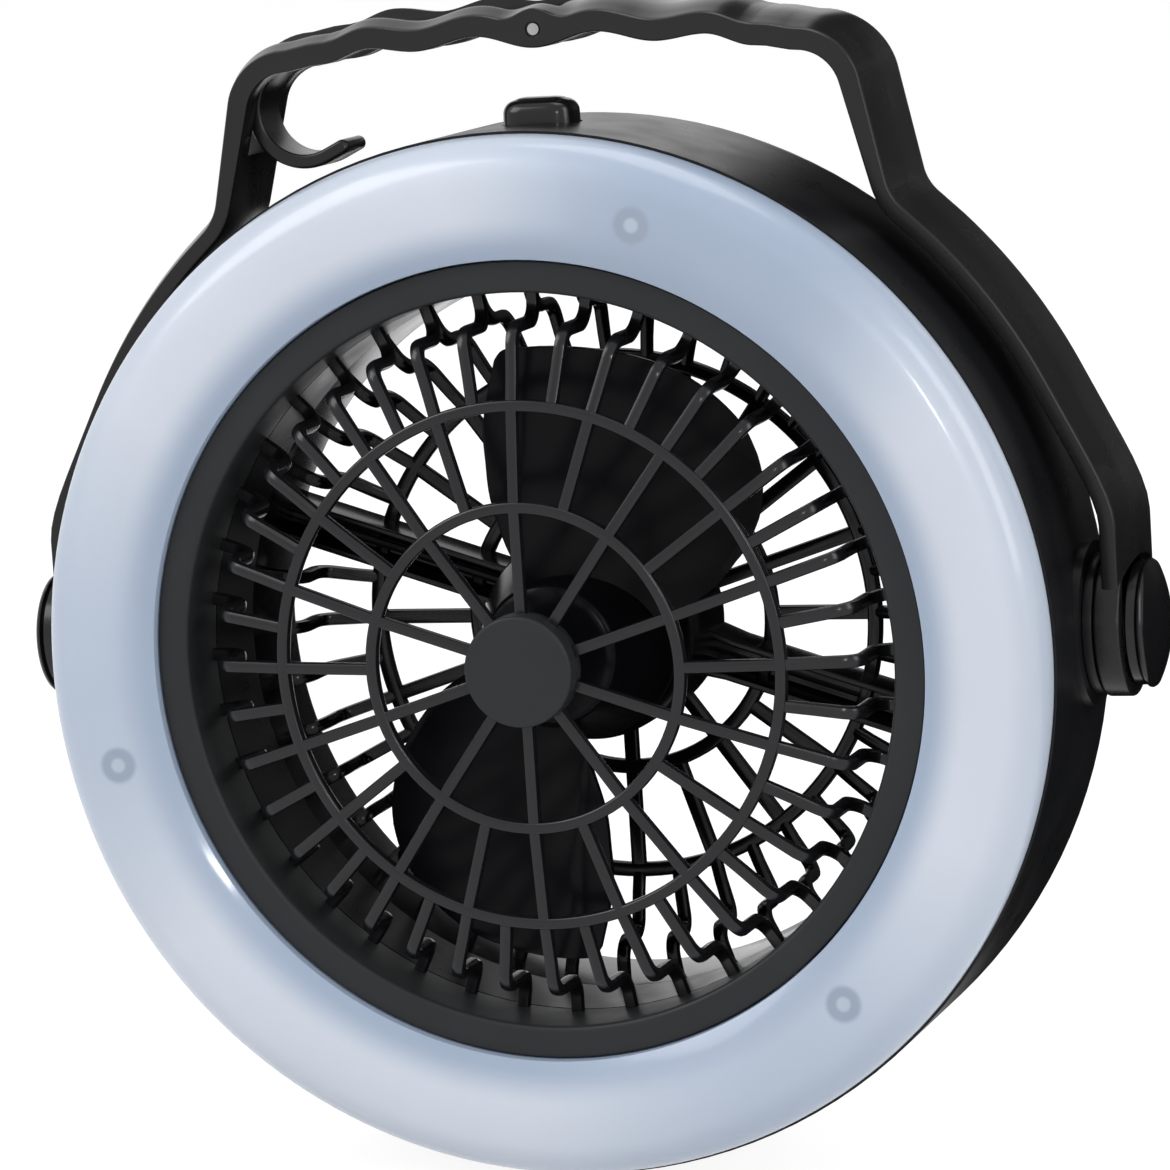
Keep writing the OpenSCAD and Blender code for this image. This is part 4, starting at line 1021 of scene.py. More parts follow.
@dataclass
class FrontGuard(Guard):
    """Dark bezel, collar and the guard with its hub cap."""

    bezel_r: float = 74.6
    bezel_f: float = 4.0
    bezel_back: float = -4.8
    collar: float = 10.2
    root: float = -9.0
    hub_r: float = 10.4
    hub_f: float = 13.1
    hub_wall: float = 1.6
    spoke_f: float = 8.5
    outer_f: float = 6.3

    def build(self, palette: Palette) -> None:
        """Makes the bezel with its collar, the guard and its hub cap.

        Args:
            palette: the fan's finishes.
        """
        rim = Shell("guard_bezel", palette.guard)
        step_f = self.bezel_f - 1.8
        rim.turn(rounded([(self.bezel_r, self.bezel_back), (self.bezel_r, self.bezel_f),
                          (self.duct_r, self.bezel_f), (self.duct_r, -self.collar),
                          (self.duct_r + 2, -self.collar), (self.duct_r + 2, step_f),
                          (self.bezel_r - 2, step_f), (self.bezel_r - 2, self.bezel_back)],
                         [0.2, 0.35, 1.3, 0.2, 0.2, 0.3, 0.3, 0.2], 5), 192)
        rim.make("front_grille")
        guard = Shell("guard_front", palette.bars)
        self.web(guard, self.hub_r - 1.4, self.spoke_f, self.outer_f)
        count = 4 * self.spokes
        for i in range(count):
            self.bent(guard, self.outer_f, self.root, 360 / count * i, 1)
        guard.make()
        back, inner = self.spoke_f - self.bar_d / 2 - 0.2, self.hub_f - self.hub_wall
        bore = self.hub_r - self.hub_wall
        cap = Shell("guard_hub_cap", palette.guard)
        cap.turn_on(rounded([(0, self.hub_f), (self.hub_r, self.hub_f), (self.hub_r, back),
                             (bore, back), (bore, inner), (0, inner)],
                            [0, 0.8, 0.2, 0.2, 0.5, 0], 5, False),
                    on_drum(0, 0, 0), FRONT, 72)
        cap.make()


@dataclass
class RearGuard(Guard):
    """Rear guard with the motor cup, the wire arms and the duct's sleeve."""

    bar_w: float = 2.8
    plane: float = 50.7
    root: float = 37.4
    bent_share: float = 0.9
    inner_ring: float = 30.0
    outer_ring: float = 50.5
    sleeve_front: float = 29.2
    sleeve_wall: float = 1.05
    flange_w: float = 3.25
    flange_t: float = 2.1
    lug_r: float = 3.4
    lugs: tuple[float, ...] = (0, 45, 90, 135, 180, 217, 323)
    cup_r: float = 20.5
    cup_wall: float = 1.8
    cup_front: float = 30.2
    cup_back: float = 51.5
    back: float = 52.0
    arm_w: float = 8.0
    arm_wall: float = 1.3
    arm_front: float = 41.5
    arm_turn: float = 162.0
    arm_flare: float = 4.5

    def build(self, palette: Palette) -> None:
        """Makes the guard.

        Args:
            palette: the fan's finishes.
        """
        shell = Shell("guard_rear", palette.gloss)
        self._sleeve(shell)
        c, w = self.cup_r, self.cup_wall
        shell.turn_on(rounded([(0, -self.cup_back), (c, -self.cup_back), (c, -self.cup_front),
                               (c - w, -self.cup_front), (c - w, w - self.cup_back),
                               (0, w - self.cup_back)], [0, 1.6, 0.3, 0.2, 0.4, 0], 5, False),
                      on_drum(0, 0, 0), FRONT, 96)
        self.web(shell, c - 1, -self.plane, -self.plane)
        count = 4 * self.spokes
        for i in range(count):
            angle = 360 / count * i
            if abs((angle - self.arm_turn) % 180) > 1:
                self.bent(shell, self.plane, self.root, angle, -1)
        for turn in (self.arm_turn, self.arm_turn + 180):
            self._arm(shell, turn)
        shell.make("rear_grille")

    def _sleeve(self, shell: Shell) -> None:
        """The duct's sleeve with its flange and the screw lugs.

        Args:
            shell: shell to add to.
        """
        r, front = self.duct_r, self.flange_t - self.back
        wall, rim = r + self.sleeve_wall, r + self.flange_w
        shell.turn(rounded([(r, -self.sleeve_front), (wall, -self.sleeve_front), (wall, front),
                            (rim, front), (rim, -self.back), (r, -self.back)],
                           [0.2, 0.2, 0.2, 0.2, 0.4, 0.9], 4), 192)
        for angle in self.lugs:
            shell.turn_on(rounded([(0, front), (self.lug_r, front), (self.lug_r, -self.back),
                                   (2.1, -self.back), (2.1, 1.3 - self.back),
                                   (0, 1.3 - self.back)], [0, 0.1, 0.4, 0.1, 0.1, 0], 3, False),
                          on_drum(rim + 1.6, 0, angle), FRONT, 32)

    def _arm(self, shell: Shell, angle: float) -> None:
        """A trough-shaped arm from the cup to the duct.

        Args:
            shell: shell to add to.
            angle: direction in degrees.
        """
        back, w, front = -self.plane - self.bar_d / 2, self.arm_w / 2, -self.arm_front
        wall = self.arm_wall
        section = rounded([(-w, back), (w, back), (w, front), (w - wall, front),
                           (w - wall, back + 1.4), (wall - w, back + 1.4), (wall - w, front),
                           (-w, front)], [0.7, 0.7, 0.45, 0.45, 0.5, 0.5, 0.45, 0.45], 3)
        out, across = compass(angle)
        base = Vector((0, SEAM_Y, AXIS_Z))
        loops = []
        for r in (self.cup_r - 0.8, self.cup_r + 1.2, self.cup_r + self.arm_flare, 40,
                  self.duct_r + 0.5):
            flare = max(0.0, 1 - (r - self.cup_r) / self.arm_flare) * 0.12
            loops.append([(base + out * r + across * u * (1 + flare) + Vector((0, -f, 0))) * MM
                          for u, f in section])
        shell.skin(loops)


# ---------------------------------------------------------------- rotor
@dataclass
class Rotor:
    """Two wide twisted blades on a hollow hub."""

    front_r: float = 13.3
    rear_r: float = 19.3
    front: float = 4.0
    depth: float = 20.0
    post_r: float = 3.4
    shaft_r: float = 1.06
    turn: float = 69.0
    blades: int = 2
    thickness: float = 1.6
    root_slope: float = 0.50
    tip_slope: float = 0.325
    slope_start: float = 12.0
    slope_run: float = 34.0
    middle: float = -12.4
    camber: float = 1.2
    half_chord: float = 27.0
    rearmost: float = -22.6
    foremost: float = -5.1
    leading: tuple[Point, ...] = ((9, 7.5), (13.5, 11.2), (17, 14), (24.3, 19.3), (30.8, 22.3),
                                  (36, 24.4), (41.8, 25.5), (49.4, 26.2))
    trailing: tuple[Point, ...] = ((9, -12), (13, -17.5), (18, -21.5), (23, -24), (29, -26),
                                   (36, -26.4), (42.4, -25.2), (46.5, -23.2))
    tip: tuple[Point, ...] = ((49.4, 26.2), (51.4, 25.5), (52.6, 23.7), (55.2, 17), (57.2, 9),
                              (58, 1.5), (57.6, -4.5), (56.2, -10), (53.6, -15.5),
                              (50.4, -20), (46.5, -23.2))

    def build(self, palette: Palette) -> None:
        """Makes the hub and the blades.

        Args:
            palette: the fan's finishes.
        """
        hub = Shell("rotor_hub", palette.rotor, Body.ROTOR)
        back = -self.front - self.depth
        outline = rounded([(0, -self.front), (self.front_r - 0.3, -self.front - 0.3),
                           (self.rear_r, back + 1.4), (self.rear_r, back),
                           (self.rear_r - 1.6, back), (self.rear_r - 1.7, back + 1.4),
                           (self.front_r - 1.8, -self.front - 2.4),
                           (self.post_r, -self.front - 1.6), (self.post_r, back + 5),
                           (self.shaft_r, back + 5), (self.shaft_r, -self.front - 4.2),
                           (0, -self.front - 4.2)],
                          [0, 2.4, 0.6, 0.3, 0.3, 0, 1.0, 0.8, 0.3, 0, 0, 0], 6, False)
        hub.turn_on(outline, on_drum(0, 0, 0), FRONT, 96)
        hub.make("rotor")
        for i in range(self.blades):
            self._blade(palette, i)

    def _blade(self, palette: Palette, index: int) -> None:
        """One blade as a thin twisted sheet.

        Args:
            palette: the fan's finishes.
            index: which blade.
        """
        lead, trail, tip = ([Vector(p) for p in spline(list(edge), 4)]
                            for edge in (self.leading, self.trailing, self.tip))
        n, m = len(lead) - 1, len(tip) - 1
        turn = self.turn + 360 * index / self.blades
        verts = []
        for i in range(n + 1):
            s = i / n
            for j in range(m + 1):
                t = j / m
                root = lead[0].lerp(trail[0], t)
                flat = root.lerp(lead[-1].lerp(trail[-1], t), s)
                p = lead[i].lerp(trail[i], t) + root.lerp(tip[j], s) - flat
                verts.append(tuple(self._lift(p.x, p.y, turn)))
        row = m + 1
        faces = [[i * row + j, i * row + j + 1, (i + 1) * row + j + 1, (i + 1) * row + j]
                 for i in range(n) for j in range(m)]
        mesh = bpy.data.meshes.new(f"rotor_blade_{index + 1}")
        mesh.from_pydata(verts, [], faces)
        piece = put(mesh.name, mesh)
        thick = piece.modifiers.new("thickness", "SOLIDIFY")
        thick.thickness = self.thickness * MM
        thick.offset = 0.0
        soften(piece, 0.0005, 3, 60)
        finish_piece(piece, palette.rotor, Body.ROTOR)

    def _lift(self, u: float, v: float, turn: float) -> Vector:
        """Lifts a point of the flat blade to its twisted place.

        Args:
            u: distance along the blade.
            v: distance across it.
            turn: direction of the blade in degrees.

        Returns:
            The point in metres.
        """
        run = min(1.0, max(0.0, (u - self.slope_start) / self.slope_run))
        slope = self.root_slope + (self.tip_slope - self.root_slope) * run
        f = self.middle + v * slope + self.camber * (1 - (v / self.half_chord) ** 2)
        f = max(self.rearmost, min(self.foremost, f))
        return on_drum(math.hypot(u, v), f, turn + math.degrees(math.atan2(v, u)))


# ---------------------------------------------------------------- handle
@dataclass
class Contour:
    """Inner side of the handle's band, seen from the front."""

    leg_r: float = 102.2
    leg_x: float = 102.4
    lean_a: float = 27.0
    arc_end: float = 48.0
    lean: float = 14.5
    shoulder: float = 14.0
    half: float = 50.0
    corner: float = 8.3
    top: float = 109.3
    kink_low: float = 3.5
    knots: tuple[Point, ...] = ((0, 2.5), (11.8, 5.0), (23.8, 2.75), (32.8, 3.7), (42.5, 1.15))

    def wave(self, x: float) -> float:
        """Height of the finger waves at a distance from the middle.

        Args:
            x: distance in millimetres.

        Returns:
            Height above the corner level.
        """
        for a, b in zip(self.knots, self.knots[1:]):
            if x <= b[0]:
                return a[1] + (b[1] - a[1]) * ease((x - a[0]) / (b[0] - a[0]))
        return self.knots[-1][1]

    def points(self) -> list[Point]:
        """The whole contour from the right eye to the left one.

        Returns:
            Points in millimetres from the drum's axis.
        """
        half = self._leg() + self._shoulder()
        end, waves = self.knots[-1][0], 60
        flat = [(x, self.top + self.wave(x))
                for x in [end * (1 - i / waves) for i in range(waves + 1)]]
        start = half[-1]
        half += [(start[0] + (flat[0][0] - start[0]) * k / 4,
                  start[1] + (flat[0][1] - start[1]) * ease(k / 4)) for k in range(1, 4)]
        half += flat
        return half + [(-x, z) for x, z in reversed(half[:-1])]

    def _leg(self) -> list[Point]:
        """The straight foot of the right leg and the stretch that follows the drum.

        Returns:
            Points from the eye upwards.
        """
        a = math.radians(self.lean_a)
        kink = self.leg_r * math.sin(a) - (self.leg_x - self.leg_r * math.cos(a)) / math.tan(a)
        low = kink - self.kink_low
        leg: list[Point] = [(self.leg_x, z) for z in (-2, 2, 6, 10, 14, 18, low)]
        tangent = Vector((self.leg_r * math.cos(a), self.leg_r * math.sin(a)))
        down = Vector((math.sin(a), -math.cos(a)))
        p0, p1, p2 = Vector((self.leg_x, low)), Vector((self.leg_x, kink)), tangent + 16 * down
        leg += [tuple(p0 * (1 - s) ** 2 + p1 * 2 * s * (1 - s) + p2 * s ** 2)
                for s in (0.25, 0.5, 0.75, 1.0)]
        leg += [tuple(tangent + k * down) for k in (12, 8, 4)]
        return leg + arc(0, 0, self.leg_r, self.lean_a, self.arc_end - 2.5, 14)

    def _shoulder(self) -> list[Point]:
        """The bend away from the drum, the leaning stretch and the grip's corner.

        Returns:
            Points from the leg to the grip.
        """
        lean, bow = math.radians(self.lean), math.radians(self.arc_end)
        rise = Vector((-math.sin(lean), math.cos(lean)))
        side = Vector((math.cos(lean), math.sin(lean)))
        corner = Vector((self.half, self.top - self.corner))
        corner_in = corner + side * self.corner
        end = self.leg_r * Vector((math.cos(bow), math.sin(bow)))
        along = Vector((-math.sin(bow), math.cos(bow)))
        gap = corner_in - end
        t = (gap.x * rise.y - gap.y * rise.x) / (along.x * rise.y - along.y * rise.x)
        centre = end + along * t \
            + rise * self.shoulder * math.tan(math.radians(self.arc_end - self.lean) / 2) \
            + side * self.shoulder
        bend = arc(centre.x, centre.y, self.shoulder, 180 + self.arc_end, 180 + self.lean, 12)
        last = Vector(bend[-1])
        bend += [tuple(last.lerp(corner_in, k / 6)) for k in range(1, 6)]
        return bend + arc(corner.x, corner.y, self.corner, self.lean, 81, 14)


@dataclass
class CarryHandle:
    """Crowned band over the drum, with finger waves, a slot for the hook and two eyes."""

    width: float = 21.8
    leg_t: float = 2.8
    grip_t: float = 3.8
    thicken_z: float = 84.0
    thicken_run: float = 20.0
    crown: float = 2.75
    bulge: float = 3.5
    bulge_half: float = 7.4
    bulge_z: float = 100.0
    bulge_flat: float = 0.62
    grip_half: float = 40.0
    pin_z: float = 115.3
    pin_bore: float = 1.13
    pin_recess: float = 1.5
    slot_w: float = 11.4
    slot_end: float = 3.9
    slot_low: float = 93.6
    eye_r: float = 13.5
    eye_x: float = 101.1
    eye_t: float = 4.8
    cap_clear_r: float = 13.1
    contour: Contour = field(default_factory=Contour)
    profile: tuple[Point, ...] = ((1.0, 0.0), (0.985, 0.07), (0.91, 0.17), (0.826, 0.27),
                                  (0.7, 0.43), (0.6, 0.56), (0.43, 0.72), (0.275, 0.84),
                                  (0.1, 0.92), (-0.1, 0.97), (-0.37, 1.0), (-0.55, 1.0),
                                  (-0.73, 0.97), (-0.84, 0.89), (-0.92, 0.73), (-0.97, 0.45),
                                  (-0.99, 0.2), (-1.0, 0.0))

    def thickness(self, p: Point) -> tuple[float, float]:
        """Thickness of the band's edge and strength of its crown at a point.

        Args:
            p: point of the contour.

        Returns:
            Edge thickness and crown factor.
        """
        up = min(1.0, max(0.0, (p[1] - self.thicken_z) / self.thicken_run))
        edge = self.leg_t + (self.grip_t - self.leg_t) * up
        crown = 1.0
        if abs(p[0]) < self.bulge_half and p[1] > self.bulge_z:
            rise = (1 + math.cos(math.pi * p[0] / self.bulge_half)) / 2
            edge += self.bulge * rise
            crown = 1 - self.bulge_flat * rise
        return edge, crown

    def section(self, edge: float, crown: float) -> list[Point]:
        """Section of the band as (across, outwards) points.

        Args:
            edge: thickness at the edges.
            crown: height of the crown.

        Returns:
            Closed outline.
        """
        w = self.width / 2
        out = [(w - 0.45, 0.0), (w - 0.1, 0.12), (w, 0.5), (w, edge - 0.35)]
        out += [(s * w, edge + h * crown) for s, h in self.profile]
        out += [(-w, edge - 0.35), (-w, 0.5), (-w + 0.1, 0.12), (-w + 0.45, 0.0)]
        return out

    def build(self, palette: Palette) -> None:
        """Makes the handle.

        Args:
            palette: the fan's finishes.
        """
        points = self.contour.points()
        base = Vector((0, SEAM_Y + PIVOT_Y, AXIS_Z))
        loops = []
        for i, p in enumerate(points):
            out = outward(points, i)
            if abs(p[0]) < self.grip_half and p[1] > self.contour.top - 1:
                out = out.lerp(Vector((0, 1)), 0.85).normalized()
            edge, crown = self.thickness(p)
            loops.append([(base + Vector((p[0] + out.x * h, -s, p[1] + out.y * h))) * MM
                          for s, h in self.section(edge, self.crown * crown)])
        band = Shell("carry_handle", palette.handle, Body.HANDLE)
        band.skin(loops)
        piece = band.make("handle")
        self._cut(piece, self._slot_block())
        for side in (-1, 1):
            self._cut(piece, self._round_block(side))
            self._cut(piece, self._pin_block(self.pin_recess, side * (self.width / 2 - 0.6),
                                             side * self.width))
        self._cut(piece, self._pin_block(self.pin_bore, -self.width, self.width))
        soften(piece, 0.0004, 2, 48)
        finish_piece(piece, palette.handle, Body.HANDLE)
        for name, side in (("right", 1), ("left", -1)):
            eye = Shell(f"handle_eye_{name}", palette.handle, Body.HANDLE)
            eye.turn_on(rounded(oblong(BORE_R, self.eye_x, self.eye_r, self.eye_x + self.eye_t),
                                [0.1, 0.5, 0.6, 0.1], 5),
                        on_band(0, 0, PIVOT_RISE), Vector((side, 0, 0)), 96)
            eye.make()

    @staticmethod
    def _cut(piece: bpy.types.Object, loops: list[Loop]) -> None:
        """Cuts a block out of a piece.

        Args:
            piece: the piece.
            loops: both ends of the block.
        """
        block = Shell("tool")
        block.skin(loops)
        tool = block.tool()
        cut = piece.modifiers.new("cut", "BOOLEAN")
        cut.operation = "DIFFERENCE"
        cut.solver = "EXACT"
        cut.object = tool
        baked(piece)
        bpy.data.objects.remove(tool, do_unlink=True)

    def _slot_block(self) -> list[Loop]:
        """Ends of the block that opens the hook's slot.

        Returns:
            The two loops.
        """
        mid, past, above = SEAM_Y + PIVOT_Y, -80, 150
        outline = rounded(oblong(past, mid - self.slot_w / 2, self.slot_end,
                                 mid + self.slot_w / 2), [0.0, 1.0, 1.0, 0.0], 4)
        return [[Vector((x, y, AXIS_Z + z)) * MM for x, y in outline]
                for z in (self.slot_low, above)]

    def _round_block(self, side: int) -> list[Loop]:
        """Ends of the cylinder that clears the band's crown round a cap.

        Args:
            side: 1 for the right pivot, -1 for the left one.

        Returns:
            The two loops.
        """
        past = 125
        return [[Vector((side * x, SEAM_Y + PIVOT_Y + y, AXIS_Z + PIVOT_RISE + z)) * MM
                 for y, z in circle(self.cap_clear_r, 64)]
                for x in (self.eye_x + self.eye_t, past)]

    def _pin_block(self, radius: float, start: float, end: float) -> list[Loop]:
        """Ends of the cylinder for the pin's bore or its recess.

        Args:
            radius: its radius.
            start: first end in front of the band's middle.
            end: other end.

        Returns:
            The two loops.
        """
        mid = SEAM_Y + PIVOT_Y
        return [[Vector((x, mid - y, AXIS_Z + self.pin_z + z)) * MM
                 for x, z in circle(radius, 32)] for y in (start, end)]


@dataclass
class HangHook:
    """Hook that lies in the handle's slot and turns on the steel pin."""

    width: float = 10.4
    thickness: float = 2.7
    root_t: float = 3.0
    root_points: int = 6
    bend_r: float = 8.4
    bend_start: float = 98.0
    centre: Point = (-49.2, 101.7)
    pin_z: float = 115.3
    pin_bore: float = 1.16
    eye: float = 3.0
    tip_angle: float = 296.0
    tip_length: float = 3.6
    shank: tuple[Point, ...] = ((0.0, 0.3), (-10, 0.35), (-22, 0.4), (-33, 0.1), (-41, -1.9))

    def build(self, palette: Palette) -> None:
        """Makes the hook.

        Args:
            palette: the fan's finishes.
        """
        path = spline([(x, self.pin_z + z) for x, z in self.shank], 4)
        bend = arc(*self.centre, self.bend_r + self.thickness / 2, self.bend_start,
                   self.tip_angle, 40)
        a = math.radians(self.tip_angle)
        path += bend[1:]
        path += [(bend[-1][0] - math.sin(a) * k, bend[-1][1] + math.cos(a) * k)
                 for k in (1.2, 2.4, self.tip_length)]
        loops = [self._section(p, outward(path, i), self.width,
                               self.root_t if i < self.root_points else self.thickness)
                 for i, p in enumerate(path)]
        last, d = Vector(path[-1]), Vector((-math.sin(a), math.cos(a)))
        for k in range(1, 6):
            t = math.radians(90 * k / 5.4)
            loops.append(self._section(tuple(last + d * math.sin(t) * self.thickness / 2),
                                       Vector((d.y, -d.x)),
                                       self.width - (1 - math.cos(t)) * 1.6,
                                       self.thickness * math.cos(t)))
        hook = Shell("hang_hook", palette.handle, Body.HOOK)
        hook.skin(loops)
        hook.make("hanger_hook")
        eye = Shell("hang_hook_eye", palette.handle, Body.HOOK)
        w = self.width / 2
        eye.turn_on(rounded(oblong(self.pin_bore, -w, self.eye, w), [0.1, 0.5, 0.5, 0.1], 4),
                    on_band(0, 0, self.pin_z), FRONT, 48)
        eye.make()

    @staticmethod
    def _section(p: Point, out: Vector, width: float, thick: float) -> Loop:
        """Rounded section at a point of the hook's path.

        Args:
            p: point of the path.
            out: outward direction.
            width: width along the pin.
            thick: thickness.

        Returns:
            The loop in metres.
        """
        base = Vector((0, SEAM_Y + PIVOT_Y, AXIS_Z))
        w, h = width / 2, max(thick, 0.3) / 2
        shape = rounded(oblong(-w, -h, w, h), min(0.6, h * 0.8), 3)
        return [(base + Vector((p[0] + out.x * v, -u, p[1] + out.y * v))) * MM for u, v in shape]


# ---------------------------------------------------------------- small pieces
@dataclass
class Pivots:
    """Collars and domed caps on both sides."""

    pad_x: float = 98.8
    collar_r: float = 13.0
    collar_t: float = 1.9
    neck_x: float = 106.3
    neck_r: float = 11.4
    neck_t: float = 2.3
    cap_r: float = 11.9
    dome: float = 2.8

    def build(self, palette: Palette) -> None:
        """Makes the collars and caps.

        Args:
            palette: the fan's finishes.
        """
        collars = Shell("pivot_collars", palette.housing)
        caps = Shell("pivot_caps", palette.button)
        x, origin = self.pad_x + 0.1, on_band(0, 0, PIVOT_RISE)
        collar = rounded(oblong(BORE_R, x, self.collar_r, x + self.collar_t),
                         [0.1, 0.2, 0.45, 0.1], 4)
        cap = self._cap_outline()
        for side in (1, -1):
            collars.turn_on(collar, origin, Vector((side, 0, 0)), 96)
            caps.turn_on(cap, origin, Vector((side, 0, 0)), 96)
        collars.make("friction_washers")
        caps.make("knob_caps")

    def _cap_outline(self) -> list[Point]:
        """Outline of a cap, with its neck and its dome.

        Returns:
            Outline of (r, x) points from the axis back to the axis.
        """
        flange = self.neck_x + self.neck_t
        big = (self.cap_r ** 2 + self.dome ** 2) / (2 * self.dome)
        crown = [(r, flange + 0.9 + math.sqrt(big ** 2 - r ** 2) - big + self.dome)
                 for r in [(self.cap_r - 0.25) * (1 - i / 16) for i in range(17)]]
        return [(0, self.neck_x), (self.neck_r - 0.4, self.neck_x),
                (self.neck_r, self.neck_x + 0.4), (self.neck_r, flange - 0.35),
                (self.neck_r - 0.35, flange - 0.1), (self.cap_r - 0.3, flange + 0.1),
                (self.cap_r - 0.05, flange + 0.3), (self.cap_r, flange + 0.6)] + crown


@dataclass
class PowerKey:
    """Rounded button on top of the drum."""

    width: float = 14.5
    depth: float = 10.0
    centre_y: float = 20.8
    low: float = 94.9
    high: float = 102.7
    soft: float = 2.5
    dome: float = 0.45
    flat: float = 4.6

    def loop(self, z: float, inset: float) -> Loop:
        """Rounded rectangle at a height.

        Args:
            z: height above the drum's axis.
            inset: how far it is drawn in.

        Returns:
            The loop in metres.
        """
        w, d = self.width / 2 - inset, self.depth / 2 - inset
        radius = max(0.6, self.depth / 2 - 0.6 - inset)
        outline = rounded(oblong(-w, -d, w, d), radius * 1.25, 10)
        return [Vector((x, SEAM_Y + self.centre_y + y, AXIS_Z + z)) * MM for x, y in outline]

    def build(self, palette: Palette) -> None:
        """Makes the button.

        Args:
            palette: the fan's finishes.
        """
        key = Shell("power_key", palette.button, Body.BUTTON)
        steps = [(self.low - 1.2, -1.5), (self.low, -1.5), (self.low, 0.0)]
        edge = self.high - self.dome - self.soft
        steps += [(self.low + (edge - self.low) * k / 3, 0.05 * k) for k in (1, 2, 3)]
        steps += [(edge + self.soft * math.sin(math.radians(a)),
                   0.15 + self.soft * (1 - math.cos(math.radians(a))))
                  for a in (12, 24, 36, 48, 60, 70, 80)]
        rim = steps[-1][1]
        steps += [(self.high - self.dome * (1 - k / 4) ** 2, rim + (self.flat - rim) * k / 4)
                  for k in (1, 2, 3, 4)]
        key.skin([self.loop(z, inset) for z, inset in steps])
        key.make("power_button")


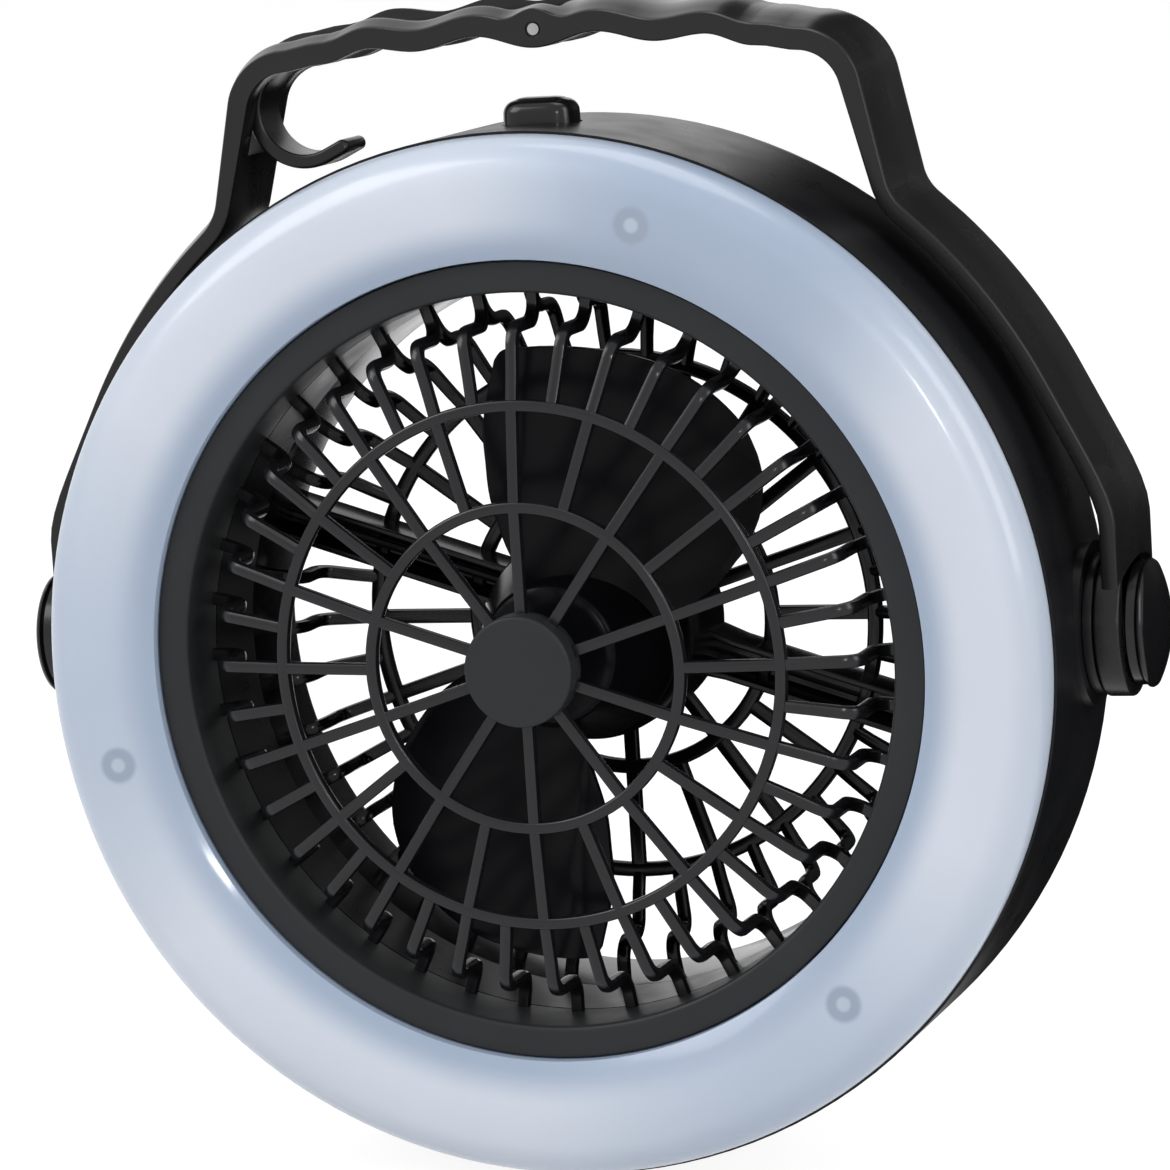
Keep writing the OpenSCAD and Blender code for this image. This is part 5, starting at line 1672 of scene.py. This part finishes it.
# ---------------------------------------------------------------- studio
@dataclass
class Studio:
    """Camera, lamps, floor, black cards and the pale surroundings.

    A card is given by two of its corners in metres: left, low or near, right, high or far.
    """

    azimuth: float = 18.86
    elevation: float = 8.71
    roll: float = -3.63
    distance: float = 1000.0
    focal_px: float = 5430.4
    sensor: float = 36.0
    aim: Point = (9.73, 13.98)
    image: float = 1170.0
    lamp_aim: Triple = (0, 0, 0.11)
    floor_half: float = 6.0
    floor_tone: float = 0.82
    glow: float = 1.3
    glow_share: float = 0.7
    sky: Triple = (0.30, 0.30, 0.31)
    back_card: tuple[float, ...] = (-0.02, 0.0, 1.3, 1.0)
    arm_card: tuple[float, ...] = (-0.16, 0.12, 0.06, 0.208)
    floor_card: tuple[float, ...] = (-0.08, 0.06, 1.3, 0.42)
    card_back: float = 0.42
    card_arm: float = 0.25
    card_rise: float = 0.0015

    def camera(self) -> None:
        """Places the camera."""
        a, e, roll = (math.radians(v) for v in (self.azimuth, self.elevation, self.roll))
        back = Vector((math.sin(a) * math.cos(e), -math.cos(a) * math.cos(e), math.sin(e)))
        right = Vector((math.cos(a), math.sin(a), 0))
        up = back.cross(right)
        right2 = right * math.cos(roll) + up * math.sin(roll)
        up2 = -right * math.sin(roll) + up * math.cos(roll)
        spot = Vector((self.aim[0], SEAM_Y, AXIS_Z + self.aim[1])) + back * self.distance
        data = bpy.data.cameras.new("camera")
        data.sensor_width = self.sensor
        data.lens = self.focal_px / self.image * self.sensor
        data.clip_start = 0.05
        data.clip_end = 60.0
        cam = put("camera", data)
        matrix = Matrix((right2, up2, back)).transposed().to_4x4()
        matrix.translation = spot * MM
        cam.matrix_world = matrix
        bpy.context.scene.camera = cam

    def lamp(self, name: str, spot: Triple, size: Point, power: float) -> None:
        """An area lamp aimed at the fan.

        Args:
            name: its name.
            spot: its place in metres.
            size: width and height in metres.
            power: watts.
        """
        data = bpy.data.lights.new(name, "AREA")
        data.shape = "RECTANGLE"
        data.size, data.size_y = size
        data.energy = power
        lamp = put(name, data)
        lamp.location = spot
        aim = Vector(self.lamp_aim) - Vector(spot)
        lamp.rotation_euler = aim.to_track_quat("-Z", "Y").to_euler()

    def lamps(self) -> None:
        """Places the soft lamps."""
        self.lamp("key_left", (-1.1, -0.9, 1.2), (0.9, 1.1), 13.5)
        self.lamp("fill_right", (1.4, -0.5, 0.7), (0.5, 1.1), 6.5)
        self.lamp("top", (0.1, 0.1, 1.5), (0.9, 0.6), 4.5)
        self.lamp("rear_soft", (0.7, 1.3, 0.7), (0.8, 0.8), 8.0)
        self.lamp("sparkle", (0.62, -1.5, 0.52), (0.09, 0.15), 2.4)

    @staticmethod
    def sheet(name: str, corners: list[Triple], finish: bpy.types.Material
              ) -> bpy.types.Object:
        """A flat part of the studio.

        Args:
            name: its name.
            corners: its four corners in metres.
            finish: its material.

        Returns:
            The object.
        """
        mesh = bpy.data.meshes.new(name)
        mesh.from_pydata(corners, [], [[0, 1, 2, 3]])
        mesh.materials.append(finish)
        piece = put(name, mesh)
        return piece

    def flags(self) -> None:
        """Places the black cards that only reflections see, which keep dark plastic dark."""
        black = FinishWiring("flag_black")
        black.set(Base_Color=(0.004, 0.004, 0.004, 1), Roughness=1.0, Specular_IOR_Level=0.0)
        cards = {
            "flag_back": [(x, self.card_back, z) for x, z in oblong(*self.back_card)],
            "flag_arm": [(x, self.card_arm, z) for x, z in oblong(*self.arm_card)],
            "flag_floor": [(x, y, self.card_rise) for x, y in oblong(*self.floor_card)],
        }
        for name, corners in cards.items():
            card = self.sheet(name, corners, black.material)
            card.visible_camera = card.visible_diffuse = card.visible_shadow = False
            card.visible_transmission = card.visible_volume_scatter = False

    def surroundings(self) -> None:
        """Makes the floor and the pale world."""
        tree = FinishWiring("floor_pale")
        tone = self.floor_tone
        tree.set(Base_Color=(tone, tone, tone, 1), Roughness=0.9, Specular_IOR_Level=0.1)
        glow = tree.nodes.new("ShaderNodeEmission")
        glow.inputs["Color"].default_value = (1, 1, 1, 1)
        glow.inputs["Strength"].default_value = self.glow
        mix = tree.nodes.new("ShaderNodeMixShader")
        tree.links.new(tree.calc("MULTIPLY", tree.seen(), self.glow_share), mix.inputs[0])
        tree.links.new(tree.nodes["Principled BSDF"].outputs["BSDF"], mix.inputs[1])
        tree.links.new(glow.outputs["Emission"], mix.inputs[2])
        tree.links.new(mix.outputs["Shader"], tree.nodes["Material Output"].inputs["Surface"])
        s = self.floor_half
        self.sheet("floor", [(x, y, 0) for x, y in oblong(-s, -s, s, s)], tree.material)
        world = bpy.data.worlds.new("studio")
        bpy.context.scene.world = world
        sky = Wiring(world)
        back = sky.nodes["Background"].inputs
        back["Strength"].default_value = 1.0
        sky.feed(back["Color"], sky.blend(sky.seen(), self.sky, (1.0, 1.0, 1.0)))


def main() -> None:
    """Builds the fan's looks in order."""
    logging.basicConfig(level=logging.INFO, format="%(message)s")
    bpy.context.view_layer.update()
    bpy.context.scene.view_settings.view_transform = "Standard"
    studio = Studio()
    studio.camera()
    palette = Palette()
    palette.dress_nodes()
    for group in (LightRing(), FrontGuard(), RearGuard(), Rotor(), CarryHandle(), HangHook(),
                  Pivots(), PowerKey()):
        group.build(palette)
        LOG.info("%s built", type(group).__name__)
    studio.lamps()
    studio.flags()
    studio.surroundings()


if __name__ == "__main__":
    main()
